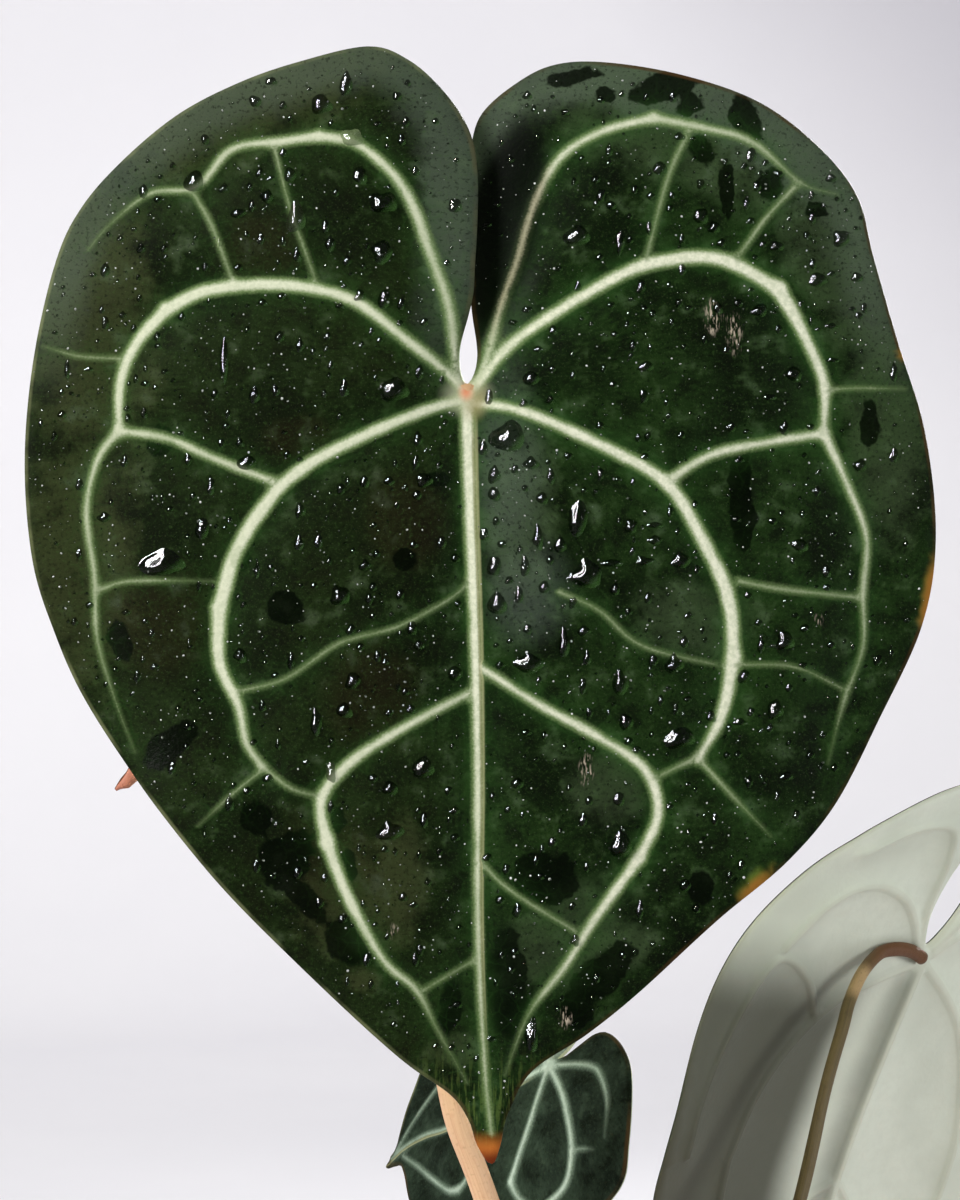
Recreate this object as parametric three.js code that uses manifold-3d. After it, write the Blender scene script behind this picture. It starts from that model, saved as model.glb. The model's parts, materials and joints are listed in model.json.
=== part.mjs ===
// A potted Anthurium clarinervium: four heart-shaped blades with a raised net of veins, their petioles,
// the short stem with its aerial roots and papery cataphylls, chunky potting mix and a plain clay pot.
// Millimetres, +Z up. The origin is the middle of the pot's base.
import * as THREE from 'three';
import { mergeVertices } from 'three/addons/utils/BufferGeometryUtils.js';
import Module from 'manifold-3d';

const wasm = await Module();
wasm.setup();

// Clearance between pieces that touch on the plant
const GAP = 0.3;

// Pot: plain tapered clay with a thick rolled rim and three drain holes round the middle
const POT = {
  height: 115, rimRadius: 65, rimHeight: 23, bodyTopRadius: 59.5, baseRadius: 44,
  wall: 6, floor: 8, edge: 2, sides: 40,
};
const DRAIN = { radius: 5, ring: 20, count: 3, sides: 12 };

// Potting mix: fine mix filled to below the rim, with bark chips half sunk in its top
const MIX_LEVEL = 101;
const BARK = { count: 32, length: 15, width: 10, thickness: 5.5, reach: 45 };

// Stem and the thick aerial roots that leave it just above the mix
const STEM = { foot: 68, top: 129, radius: 8, scarStep: 7.5, scarHeight: 0.5, sides: 14, steps: 24 };
const ROOT = { radius: 1.7, sides: 7, steps: 8 };

// Petioles: round, widest where they clasp the stem, with a swollen joint under the blade
const PETIOLE = {
  base: 3.6, radius: 2.5, joint: 2.9, jointLength: 13, sheathReach: 16, taper: 0.1, sides: 10, steps: 22,
};

// Blades: one leathery sheet, ridged on its upper face and more strongly ribbed beneath
const BLADE = { thickness: 0.9, valley: 0.5, valleyReach: 4, pucker: 0.8, waveReach: 10 };
// Height of the vein ridge above, of the rib below, and the flank beside the vein, by rank
const VEIN_RANKS = [
  { ridge: 0.55, rib: 1.4, flank: 1.1 },
  { ridge: 0.45, rib: 1.0, flank: 1.0 },
  { ridge: 0.25, rib: 0.45, flank: 0.9 },
];

// Every random draw comes from this seeded generator
function randomFrom(seed) {
  let state = seed;
  return () => {
    state = (state * 1664525 + 1013904223) % 4294967296;
    return state / 4294967296;
  };
}

const smooth = (low, high, value) => THREE.MathUtils.smoothstep(value, low, high);

// The large leaf lies flat in its own millimetres: x across, y from the tip up through the junction at the
// origin. Its outline runs from the sinus round the left lobe to the tip and back by the right lobe.
const LARGE_OUTLINE = [
  [0, 1.5], [-2.5, 7], [-3.5, 14], [-3.5, 22], [-3, 31.5], [-3, 41.5], [-4.5, 50], [-8, 57],
  [-13, 62.5], [-19.5, 65], [-31.5, 62], [-42.5, 58], [-54, 52], [-65, 43], [-72.5, 34.5], [-77, 25],
  [-81, 7], [-82.5, -12], [-81, -31], [-77, -44.5], [-72, -56], [-64, -68.5], [-54, -81.5],
  [-42.5, -95], [-27.5, -110], [-12.5, -123.5], [-3, -130.5], [0.5, -135.5], [2, -140], [4.5, -143.5],
  [6, -140], [7.5, -134], [12, -126], [22.5, -119], [32.5, -111], [47, -97.5], [59.5, -87], [69, -76],
  [77, -61], [85, -43.5], [87.5, -27], [85.5, -7], [80.5, 10], [76, 26], [73, 37.5], [65.5, 46.5],
  [54.5, 54.5], [40, 59.5], [25.5, 62], [17, 61.5], [11, 58], [6.5, 53], [5, 47], [4.5, 39.5], [4.5, 31],
  [5, 22.5], [4.5, 14.5], [3, 7],
];

// Its veins: rank, width at the start and end, then the points of the centre line
const LARGE_VEINS = [
  [0, 2.6, 1.0, [[0, 0], [0.5, -20], [1.5, -46], [2, -72], [2, -94.5], [2.5, -111.5], [3.5, -128],
    [4.5, -138]]],
  [1, 1.5, 1.9, [[-1, 1.5], [-6, 14.5], [-9.5, 26], [-12, 34.5], [-15.5, 41], [-21.5, 46.5], [-28, 48]]],
  [1, 1.9, 0.8, [[-28, 48], [-34.5, 47], [-44, 45.5], [-50.5, 38.5], [-59, 37.5], [-66.5, 32], [-71, 27]]],
  [1, 1.7, 2.5, [[-1, 1], [-5, 4.5], [-12.5, 10], [-21, 16.5], [-28, 19], [-37, 20], [-48.5, 19],
    [-56, 15.5]]],
  [1, 2.5, 1.7, [[-56, 15.5], [-61.5, 9.5], [-64.5, 2.5], [-65, -7]]],
  [1, 1.9, 2.8, [[-1, -1.5], [-8, -3.5], [-21, -9], [-31, -14.5], [-37.5, -21], [-43, -30], [-46, -40]]],
  [1, 2.8, 1.3, [[-46, -40], [-46, -50], [-42.5, -58], [-41, -65], [-38, -69.5]]],
  [1, 1.6, 1.6, [[-36, -16.5], [-47.5, -12], [-55.5, -8.5], [-65, -7]]],
  [1, 1.6, 0.7, [[-65, -7], [-69, -12.5], [-71, -22], [-69.5, -34], [-69, -46], [-65.5, -58], [-62, -67]]],
  [1, 1.5, 2.4, [[0, -56], [-10.5, -61.5], [-21.5, -68.5], [-27, -75.5], [-26, -83.5]]],
  [1, 2.4, 0.6, [[-26, -83.5], [-22, -94], [-15.5, -105.5], [-9.5, -111], [-5.5, -118.5], [0, -128.5]]],
  [1, 1.3, 1.8, [[1.5, 1.5], [5, 11.5], [8, 22.5], [12, 35.5], [17, 44], [25, 49], [35, 51.5]]],
  [1, 1.8, 0.8, [[35, 51.5], [45, 49.5], [53.5, 47], [62.5, 39.5], [69.5, 37.5]]],
  [1, 1.7, 2.8, [[1.5, 1], [8, 8], [17, 14.5], [26.5, 20.5], [34.5, 24], [46.5, 25], [58, 19.5]]],
  [1, 2.8, 1.7, [[58, 19.5], [62.5, 11.5], [66.5, 2], [66.5, -7]]],
  [1, 1.9, 2.8, [[1.5, -2], [10, -3.5], [23, -9], [36.5, -16.5], [43.5, -27], [48.5, -38], [49.5, -49]]],
  [1, 2.8, 1.6, [[49.5, -49], [47.5, -59.5], [43, -68]]],
  [1, 1.7, 1.8, [[37, -16.5], [45.5, -11.5], [57, -9], [66.5, -7.5]]],
  [1, 1.9, 1.2, [[66.5, -7.5], [70.5, -16], [74.5, -26.5], [74, -37]]],
  [1, 1.1, 0.5, [[74, -38], [74, -47.5], [70.5, -57.5], [67.5, -69]]],
  [1, 1.6, 2.2, [[2.5, -51], [13.5, -58], [24.5, -64], [33, -70], [35.5, -78], [32, -86.5]]],
  [1, 2.2, 0.8, [[32, -86.5], [24, -97.5], [18, -107], [11.5, -115.5], [7, -127]]],
  [2, 0.9, 0.7, [[-51.5, 38], [-47.5, 31], [-43.5, 20.5]]],
  [2, 0.7, 0.6, [[-36, 45.5], [-33, 34], [-28, 19.5]]],
  [2, 0.7, 0.5, [[-65, 6.5], [-72.5, 7], [-79.5, 9]]],
  [2, 0.8, 0.7, [[-68.5, -36.5], [-62.5, -35], [-47.5, -35]]],
  [2, 0.7, 0.8, [[0.5, -35], [-3.5, -38.5], [-13, -43.5], [-23.5, -46.5], [-33.5, -53], [-42.5, -55.5]]],
  [2, 1.0, 0.7, [[-38, -69.5], [-32.5, -73.5], [-27, -75]]],
  [2, 0.8, 0.5, [[-38, -70], [-43.5, -74.5], [-50, -80.5]]],
  [2, 0.7, 0.7, [[-8, -111], [-3, -108], [1.5, -105.5]]],
  [2, 0.9, 0.8, [[41.5, 49], [37.5, 40], [33.5, 25]]],
  [2, 0.9, 0.9, [[62, 39.5], [56, 33], [50.5, 25.5]]],
  [2, 0.7, 0.5, [[66.5, 0.5], [72, 1], [82, 1]]],
  [2, 0.9, 0.9, [[50.5, -35], [58.5, -36.5], [73, -38]]],
  [2, 0.6, 0.5, [[50.5, -50.5], [61, -51], [71, -55.5]]],
  [2, 0.8, 0.5, [[17, -37], [24.5, -40.5], [32.5, -47], [48.5, -51]]],
  [2, 1.0, 0.8, [[42.5, -68], [39, -69.5], [35, -71.5]]],
  [2, 1.0, 0.6, [[43, -68], [48.5, -74], [56.5, -82.5]]],
  [2, 0.8, 0.7, [[2.5, -87], [7.5, -92], [20, -100]]],
];

// The low leaf, rounder and with a short drip tip, in the same kind of millimetres
const LOW_OUTLINE = [
  [-1, 1.5], [-2.4, 5], [-4.2, 10], [-6, 14.5], [-9.5, 18.5], [-16, 20.5], [-25, 19.5], [-33, 14],
  [-37, 4], [-36.5, -8], [-31.5, -20], [-23.5, -30], [-15.2, -37.3], [-9.8, -42.9], [-6, -46.3],
  [-3.4, -48.6], [-2.2, -50.8], [-1, -53.2], [-0.3, -50.6], [0.9, -48], [3, -46.6], [6, -45.5],
  [11.2, -44.3], [18.5, -42], [26.5, -37], [33.5, -28], [38, -16], [39.5, -4], [38.6, 6],
  [35.8, 13.6], [32.2, 17.4], [25.8, 18.9], [18.5, 20.3], [9.8, 21], [4.1, 19.6], [-0.4, 16.5],
  [-1.6, 13.5], [-1, 9], [-0.4, 4.5],
];
const LOW_VEINS = [
  [0, 1.7, 0.8, [[0, 0], [0.2, -6], [0.8, -14], [0.8, -29.2], [-1, -37.4], [-1.8, -44.6], [-1.5, -50.5]]],
  [1, 1.4, 1.6, [[0, 0], [4, -1.4], [7.8, -3.3], [12.7, -6.4], [17.2, -9.5], [21.4, -12.2]]],
  [1, 1.5, 0.9, [[21.4, -12.2], [24.1, -11.3], [27, -9.5], [31, -5]]],
  [1, 1.4, 1.6, [[0.3, 0.6], [3.7, 2.3], [7.9, 3.9], [13.8, 4.9], [21.5, 5], [28.2, 2.3], [31, -5]]],
  [1, 1.6, 0.8, [[31, -5], [31.5, -14], [28, -23], [23, -30]]],
  [1, 1.3, 1.0, [[0.3, 1.1], [1.6, 4.5], [3.4, 8.7], [5.1, 11.7], [7.6, 13.7], [14.3, 15], [22, 13.5]]],
  [1, 1.2, 1.3, [[0.8, -17], [6, -19.5], [12, -22.5], [15.6, -25.8], [16.2, -28]]],
  [1, 1.3, 0.6, [[16.2, -28], [15.5, -30.5], [13.4, -33], [9.5, -36.8], [4.6, -41.3], [-0.3, -46.5]]],
  [1, 1.4, 1.5, [[0, 0], [-4, -1.4], [-8, -3.4], [-13, -7], [-18, -11], [-22, -14.5], [-24, -18]]],
  [1, 1.4, 0.8, [[-24, -18], [-23, -24], [-19, -29]]],
  [1, 1.4, 1.4, [[-0.3, 0.6], [-4, 2.3], [-9, 4.5], [-15, 6], [-21, 6], [-26, 3.5], [-29, -2], [-30, -9]]],
  [1, 1.3, 0.8, [[-0.3, 1.1], [-2.5, 4.5], [-5.5, 9], [-9, 13], [-14, 14.8], [-20, 14], [-25, 11]]],
  [1, 1.1, 0.6, [[0.8, -17], [-5, -20.5], [-9, -25], [-10, -30], [-8.5, -35], [-5.5, -42], [-2.3, -48.5]]],
  [2, 0.8, 0.6, [[21.5, 5], [22.4, 7.8], [23.7, 10.6]]],
];

// The other leaves share one heart shape, for a leaf whose junction lies one unit from its tip. This is its
// right half from the sinus to the tip; the left half is the same seen in a mirror.
const HEART_HALF = [
  [0.000, 0.030], [0.038, 0.100], [0.050, 0.200], [0.045, 0.300], [0.060, 0.385], [0.110, 0.440],
  [0.180, 0.455], [0.300, 0.410], [0.420, 0.330], [0.510, 0.235], [0.560, 0.110], [0.585, -0.050],
  [0.575, -0.200], [0.530, -0.330], [0.460, -0.460], [0.370, -0.590], [0.270, -0.710], [0.160, -0.815],
  [0.070, -0.885], [0.028, -0.925], [0.015, -0.965], [0.000, -1.000],
];
const HEART_VEINS = [
  [1, 0.010, 0.006, [[0.02, 0.02], [0.07, 0.12], [0.11, 0.24], [0.18, 0.325], [0.27, 0.32], [0.35, 0.29],
    [0.44, 0.22]]],
  [1, 0.011, 0.012, [[0.02, 0.01], [0.09, 0.08], [0.17, 0.13], [0.27, 0.15], [0.36, 0.13], [0.42, 0.07],
    [0.46, -0.03]]],
  [1, 0.012, 0.010, [[0.02, -0.01], [0.12, -0.05], [0.21, -0.10], [0.28, -0.18], [0.32, -0.28],
    [0.32, -0.38]]],
  [1, 0.010, 0.006, [[0.32, -0.38], [0.29, -0.46], [0.24, -0.53], [0.19, -0.56]]],
  [1, 0.009, 0.005, [[0.25, -0.13], [0.34, -0.07], [0.46, -0.05], [0.49, -0.16], [0.49, -0.28],
    [0.45, -0.38]]],
  [1, 0.009, 0.004, [[0.01, -0.39], [0.09, -0.44], [0.18, -0.51], [0.20, -0.59], [0.16, -0.70],
    [0.10, -0.81], [0.03, -0.90]]],
];

// Leaves, in the order they grew. junction is where the blade meets its petiole, tip the way the blade
// hangs, face the way its upper side looks. length runs from the junction to the tip.
const LEAVES = [
  {
    name: 'large', outline: LARGE_OUTLINE, veins: LARGE_VEINS, length: 143.5, seed: 11, stalk: 1.0,
    junction: [-36.7, -46, 362.7], tip: [0, 0, -1], face: [0, -1, 0],
    across: 0.00135, lobes: 0.0020, hang: 0.0003, trough: 2.0, wave: 1.5, waves: 7,
    close: 4.7, lapFront: 1.0, lapBack: 6.0, step: 5.6, fill: 8.5,
    petiole: [[0, 0, 108], [-6.5, -6, 119], [-17, -11, 160], [-33.3, -18, 209], [-40, -22, 230],
      [-43.5, -26, 265], [-42.5, -29, 310], [-39, -32, 342], [-37, -36, 357], [-36.7, -41, 361.5],
      [-36.7, -46, 361.5]],
  },
  {
    name: 'low', outline: LOW_OUTLINE, veins: LOW_VEINS, length: 51, seed: 23, stalk: 0.72,
    junction: [-20.8, 22, 228.9], tip: [-0.719, 0.526, -0.455], face: [-0.691, -0.616, 0.38],
    across: 0, lobes: 0.0039, hang: 0.0025, trough: 1.0, wave: 0.35, waves: 5,
    step: 4.8, fill: 6.6,
    petiole: [[0, 0, 102], [2, 7, 113], [-1, 20, 150], [-8, 32, 190], [-12, 34.5, 212], [-14, 33, 222],
      [-17.3, 28.5, 228.2], [-20.8, 22, 228.9]],
  },
  {
    name: 'right', width: 0.88, lobe: 0.7, shoulder: 0.3, length: 135, seed: 37, stalk: 0.74,
    junction: [61.7, 66, 246.5], tip: [-0.42, 0.17, -0.89], face: [-0.55, 0.73, 0.40],
    across: 0.0013, lobes: 0.004, hang: 0.0018, trough: 1.6, wave: 1.6, waves: 6,
    step: 7.2, fill: 11.5,
    petiole: [[0, 0, 106], [6, 2.5, 118], [14, 10, 146], [22, 18, 172], [31.6, 27, 200.6],
      [37.5, 34, 222.3], [41.6, 40, 234], [43.7, 44, 239.9], [47.5, 50, 245.8], [52.5, 56, 249.3],
      [57.4, 61, 249.2], [61.7, 66, 246.5]],
  },
  {
    name: 'young', width: 0.85, lobe: 0.9, length: 62, seed: 51, stalk: 0.7,
    junction: [-60.5, 23, 324.9], tip: [-0.80, -0.05, -0.59], face: [-0.72, 0.6, 0.35],
    across: 0.006, lobes: 0.004, hang: 0.0012, trough: 1.8, wave: 1.1, waves: 5,
    step: 5, fill: 7,
    petiole: [[0, 0, 118], [-5.5, 5, 129], [-17, 27, 170], [-27, 44, 215], [-34, 57, 245], [-43, 52, 276],
      [-51, 38, 302], [-55.9, 27, 317.8], [-57.4, 22.5, 323.3], [-60.5, 23, 324.9]],
  },
];

// Outline and veins of a leaf in its own millimetres
function leafLines(leaf) {
  const widest = leaf.width ?? 1;
  const narrowing = (y) => 1 - (leaf.shoulder ?? 0) * THREE.MathUtils.clamp((y + 0.6) / 0.9, 0, 1);
  const place = ([x, y], side) => [
    x * leaf.length * widest * narrowing(y) * side,
    y * leaf.length * (y > 0 ? leaf.lobe : 1),
  ];
  if (leaf.outline) return { outline: leaf.outline, veins: leaf.veins };
  const right = HEART_HALF.map((point) => place(point, 1)).reverse();
  const left = HEART_HALF.map((point) => place(point, -1)).slice(0, -1);
  const spine = [0, -0.3, -0.6, -0.96].map((y) => place([0, y], 1));
  const midrib = [0, 0.016 * leaf.length, 0.007 * leaf.length, spine];
  const nerves = HEART_VEINS.flatMap(([rank, start, end, points]) => [-1, 1].map((side) => [
    rank, start * leaf.length, end * leaf.length, points.map((point) => place(point, side)),
  ]));
  return { outline: [...left, ...right.slice(0, -1)], veins: [midrib, ...nerves] };
}

// Points along a smooth curve through the given ones, about one step apart, keeping the given points
function smoothLine(points, step, closed) {
  const places = points.map(([x, y]) => new THREE.Vector3(x, y, 0));
  const curve = new THREE.CatmullRomCurve3(places, closed, 'catmullrom');
  const spans = closed ? points.length : points.length - 1;
  const line = [];
  for (let span = 0; span < spans; span += 1) {
    const [x0, y0] = points[span];
    const [x1, y1] = points[(span + 1) % points.length];
    const parts = Math.max(1, Math.round(Math.hypot(x1 - x0, y1 - y0) / step));
    for (let i = 0; i < parts; i += 1) {
      const at = curve.getPoint((span + i / parts) / spans);
      line.push([at.x, at.y]);
    }
  }
  if (!closed) line.push(points.at(-1));
  return line;
}

// Distance from a point to a segment, and how far along the segment its nearest point lies
function toSegment(x, y, [ax, ay], [bx, by]) {
  const length2 = (bx - ax) ** 2 + (by - ay) ** 2;
  const along = THREE.MathUtils.clamp(((x - ax) * (bx - ax) + (y - ay) * (by - ay)) / length2, 0, 1);
  return [Math.hypot(x - ax - along * (bx - ax), y - ay - along * (by - ay)), along];
}

function insideOutline(x, y, outline) {
  let inside = false;
  for (let i = 0, j = outline.length - 1; i < outline.length; j = i, i += 1) {
    const [xi, yi] = outline[i];
    const [xj, yj] = outline[j];
    if (yi > y !== yj > y && x < ((xj - xi) * (y - yi)) / (yj - yi) + xi) inside = !inside;
  }
  return inside;
}

// The form of a blade over its flat outline: how far the sheet lifts toward its upper side, how the two
// lobes slide over each other at the sinus, and the height of ridges above and ribs below
function bladeForm(leaf) {
  const { outline, veins } = leafLines(leaf);
  const margin = smoothLine(outline, 3, true);
  const nerves = veins.map(([rank, start, end, points]) => (
    { rank, start, end, line: smoothLine(points, 3, false) }
  ));
  const phase = randomFrom(leaf.seed)() * Math.PI * 2;

  const marginDistance = (x, y) => Math.min(...margin.map(
    (point, i) => toSegment(x, y, point, margin[(i + 1) % margin.length])[0],
  ));

  function relief(x, y) {
    let ridge = 0;
    let rib = 0;
    let nearest = Infinity;
    for (const { rank, start, end, line } of nerves) {
      for (let i = 0; i < line.length - 1; i += 1) {
        const [distance, along] = toSegment(x, y, line[i], line[i + 1]);
        if (distance > 12) continue;
        const half = THREE.MathUtils.lerp(start, end, (i + along) / (line.length - 1)) / 2;
        const { ridge: up, rib: down, flank } = VEIN_RANKS[rank];
        const slope = 1 - smooth(half * 0.3, half + flank, distance);
        ridge = Math.max(ridge, up * slope);
        rib = Math.max(rib, down * slope);
        if (rank < 2) nearest = Math.min(nearest, distance);
      }
    }
    return { ridge, rib, nearest };
  }

  function shape(x, y) {
    const { ridge, rib, nearest } = relief(x, y);
    const edge = marginDistance(x, y);
    const upper = smooth(2, 20, y);
    const side = Math.exp(-Math.max(0, Math.abs(x) - 3.5) / 10);
    const angle = Math.atan2(x, -(y + leaf.length * 0.3));
    const lift = -leaf.across * x * x
      - (y > 0 ? leaf.lobes : leaf.hang) * y * y
      + leaf.trough * (1 - Math.exp(-Math.abs(x) / (leaf.length * 0.09)))
      + leaf.wave * Math.exp(-edge / BLADE.waveReach) * Math.sin(angle * leaf.waves + phase)
      + BLADE.pucker * (1 - Math.exp(-((nearest / 7) ** 2)))
      - BLADE.valley * Math.exp(-((nearest / BLADE.valleyReach) ** 2))
      + (x < 0 ? leaf.lapFront ?? 0 : -(leaf.lapBack ?? 0)) * upper * side;
    const slide = -Math.sign(x) * (leaf.close ?? 0) * upper * side;
    return { x: x + slide, y, lift, ridge, rib };
  }
  return { outline, veins, shape };
}

// Points of the flat leaf: its margin, a row along each vein's crest and each flank, and an even fill
function leafPoints(leaf, { outline, veins }) {
  const points = smoothLine(outline, leaf.step, true);
  const margin = points.slice();
  const clearOf = (x, y, space) => points.every(([px, py]) => Math.hypot(px - x, py - y) > space);
  const clearOfMargin = (x, y, space) => margin.every(
    (point, i) => toSegment(x, y, point, margin[(i + 1) % margin.length])[0] > space,
  );
  const add = (x, y, space, marginSpace) => {
    if (!insideOutline(x, y, margin)) return;
    if (clearOf(x, y, space) && clearOfMargin(x, y, marginSpace)) points.push([x, y]);
  };
  for (const offset of [0, -1, 1]) {
    for (const [rank, start, end, line] of veins) {
      const row = smoothLine(line, leaf.step * (rank === 2 ? 1.2 : 1), false);
      row.forEach(([x, y], i) => {
        const [px, py] = row[Math.max(0, i - 1)];
        const [nx, ny] = row[Math.min(row.length - 1, i + 1)];
        const long = Math.hypot(nx - px, ny - py);
        const half = THREE.MathUtils.lerp(start, end, i / (row.length - 1)) / 2;
        const out = offset * (half + VEIN_RANKS[rank].flank);
        add(x - (out * (ny - py)) / long, y + (out * (nx - px)) / long, offset === 0 ? 1.3 : 1.0, 1.2);
      });
    }
  }
  const rows = leaf.fill * Math.sqrt(0.75);
  for (let row = -18; row <= 10; row += 1) {
    for (let column = -12; column <= 12; column += 1) {
      add((column + (row % 2) / 2) * leaf.fill, row * rows, leaf.fill * 0.5, leaf.fill * 0.36);
    }
  }
  return { points, margin };
}

// Delaunay triangles of a set of points, added one at a time (each a list of three point numbers)
function delaunay(flat) {
  const nudge = randomFrom(5);
  const points = flat.map(([x, y]) => [x + (nudge() - 0.5) * 0.002, y + (nudge() - 0.5) * 0.002]);
  const far = 1e4;
  points.push([-far, -far], [far, -far], [0, far]);
  const circle = (a, b, c) => {
    const [ax, ay] = points[a];
    const [bx, by] = [points[b][0] - ax, points[b][1] - ay];
    const [cx, cy] = [points[c][0] - ax, points[c][1] - ay];
    const turn = 2 * (bx * cy - by * cx);
    const ux = (cy * (bx * bx + by * by) - by * (cx * cx + cy * cy)) / turn;
    const uy = (bx * (cx * cx + cy * cy) - cx * (bx * bx + by * by)) / turn;
    return { corners: [a, b, c], x: ax + ux, y: ay + uy, r2: ux * ux + uy * uy };
  };
  let triangles = [circle(flat.length, flat.length + 1, flat.length + 2)];
  for (let p = 0; p < flat.length; p += 1) {
    const [x, y] = points[p];
    const holds = ({ x: cx, y: cy, r2 }) => (x - cx) ** 2 + (y - cy) ** 2 < r2;
    const open = triangles.filter(holds);
    triangles = triangles.filter((triangle) => !holds(triangle));
    const edges = open.flatMap(({ corners: [a, b, c] }) => [[a, b], [b, c], [c, a]]);
    const rim = edges.filter(([a, b]) => !edges.some(([c, d]) => a === d && b === c));
    for (const [a, b] of rim) triangles.push(circle(a, b, p));
  }
  return triangles.map(({ corners }) => corners).filter((corners) => Math.max(...corners) < flat.length);
}

// A blade as one closed sheet: both faces split into the same triangles, joined round the margin. grow
// thickens it for cutting a neighbour clear.
function bladeGeometry(leaf, grow = 0) {
  const form = bladeForm(leaf);
  const { points, margin } = leafPoints(leaf, form);
  const triangles = delaunay(points).filter((corners) => {
    const x = corners.reduce((sum, i) => sum + points[i][0], 0) / 3;
    const y = corners.reduce((sum, i) => sum + points[i][1], 0) / 3;
    return insideOutline(x, y, margin);
  });
  const shaped = points.map(([x, y]) => form.shape(x, y));
  const upper = shaped.flatMap(({ x, y, lift, ridge }) => [x, y, lift + ridge + grow]);
  const lower = shaped.flatMap(({ x, y, lift, rib }) => [x, y, lift - BLADE.thickness - rib - grow]);
  const count = points.length;
  const faces = triangles.flatMap(([a, b, c]) => [a, b, c, a + count, c + count, b + count]);
  const used = new Set(triangles.flatMap(([a, b, c]) => [`${a} ${b}`, `${b} ${c}`, `${c} ${a}`]));
  for (const pair of used) {
    const [a, b] = pair.split(' ').map(Number);
    if (!used.has(`${b} ${a}`)) faces.push(a, a + count, b + count, a, b + count, b);
  }
  const geometry = new THREE.BufferGeometry();
  geometry.setAttribute('position', new THREE.Float32BufferAttribute([...upper, ...lower], 3));
  geometry.setIndex(faces);
  return geometry.applyMatrix4(leafPlace(leaf));
}

// Turns a leaf's own x, y and lift into its place on the plant
function leafPlace({ junction, tip, face }) {
  const up = new THREE.Vector3(...tip).negate().normalize();
  const across = up.clone().cross(new THREE.Vector3(...face)).normalize();
  const normal = across.clone().cross(up);
  return new THREE.Matrix4().makeBasis(across, up, normal).setPosition(...junction);
}

// A closed round limb along a smooth path, its radius given at each share of its length
function limb(path, radiusAt, sides, steps) {
  const curve = new THREE.CatmullRomCurve3(path.map((point) => new THREE.Vector3(...point)));
  const { normals, binormals } = curve.computeFrenetFrames(steps, false);
  const positions = [];
  const faces = [];
  for (let i = 0; i <= steps; i += 1) {
    const centre = curve.getPointAt(i / steps);
    for (let j = 0; j < sides; j += 1) {
      const angle = (j / sides) * Math.PI * 2;
      const at = centre.clone()
        .addScaledVector(normals[i], Math.cos(angle) * radiusAt(i / steps))
        .addScaledVector(binormals[i], Math.sin(angle) * radiusAt(i / steps));
      positions.push(at.x, at.y, at.z);
      const next = (j + 1) % sides;
      const ring = i * sides;
      if (i < steps) {
        faces.push(ring + j, ring + next, ring + sides + next);
        faces.push(ring + j, ring + sides + next, ring + sides + j);
      }
    }
  }
  const foot = positions.length / 3;
  for (const end of [0, 1]) {
    const centre = curve.getPointAt(end);
    positions.push(centre.x, centre.y, centre.z);
  }
  for (let j = 0; j < sides; j += 1) {
    const next = (j + 1) % sides;
    faces.push(foot, next, j, foot + 1, steps * sides + j, steps * sides + next);
  }
  const geometry = new THREE.BufferGeometry();
  geometry.setAttribute('position', new THREE.Float32BufferAttribute(positions, 3));
  geometry.setIndex(faces);
  return geometry;
}

// Between three.js geometry and a solid that can be joined and cut
function solid(geometry) {
  const bare = geometry.clone();
  bare.deleteAttribute('normal');
  bare.deleteAttribute('uv');
  const merged = mergeVertices(bare, 1e-4);
  return new wasm.Manifold(new wasm.Mesh({
    numProp: 3,
    vertProperties: new Float32Array(merged.attributes.position.array),
    triVerts: new Uint32Array(merged.index.array),
  }));
}

function surface(manifold) {
  const largest = manifold.decompose().sort((a, b) => b.volume() - a.volume())[0];
  const { vertProperties, triVerts, numProp } = largest.getMesh();
  const geometry = new THREE.BufferGeometry();
  const positions = new Float32Array((vertProperties.length / numProp) * 3);
  for (let i = 0; i < positions.length / 3; i += 1) {
    positions.set(vertProperties.subarray(i * numProp, i * numProp + 3), i * 3);
  }
  geometry.setAttribute('position', new THREE.BufferAttribute(positions, 3));
  geometry.setIndex(new THREE.BufferAttribute(new Uint32Array(triVerts), 1));
  return geometry;
}

const union = (geometries) => wasm.Manifold.union(geometries.map(solid));

// Radius of the pot's inner wall at a height
function potInside(z) {
  const outer = THREE.MathUtils.lerp(POT.baseRadius, POT.bodyTopRadius, z / (POT.height - POT.rimHeight));
  return Math.min(outer, POT.bodyTopRadius) - POT.wall;
}

// A body turned from a profile of radius and height
const turned = (profile, sides) => (
  new THREE.LatheGeometry(profile.map(([r, z]) => new THREE.Vector2(r, z)), sides).rotateX(Math.PI / 2)
);

function potGeometry() {
  const { height, rimRadius, rimHeight, bodyTopRadius, baseRadius, floor, edge, sides } = POT;
  const rimFoot = height - rimHeight;
  const profile = [
    [0, 0], [baseRadius - edge, 0], [baseRadius, edge], [bodyTopRadius, rimFoot - 0.5],
    [rimRadius - edge, rimFoot], [rimRadius, rimFoot + edge], [rimRadius, height - edge],
    [rimRadius - edge * 0.7, height - edge * 0.25], [rimRadius - edge * 1.6, height],
    [potInside(height) + edge * 0.8, height], [potInside(height), height - edge],
    [potInside(rimFoot), rimFoot], [potInside(floor + 5), floor + 5], [potInside(floor) - 4, floor],
    [0, floor],
  ];
  const body = solid(turned(profile, sides));
  const drains = Array.from({ length: DRAIN.count }, (_, i) => {
    const angle = Math.PI / 2 + (i * Math.PI * 2) / DRAIN.count;
    return new THREE.CylinderGeometry(DRAIN.radius, DRAIN.radius, floor * 3, DRAIN.sides)
      .rotateX(Math.PI / 2)
      .translate(Math.cos(angle) * DRAIN.ring, Math.sin(angle) * DRAIN.ring, floor / 2);
  });
  return surface(body.subtract(union(drains)));
}

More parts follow.
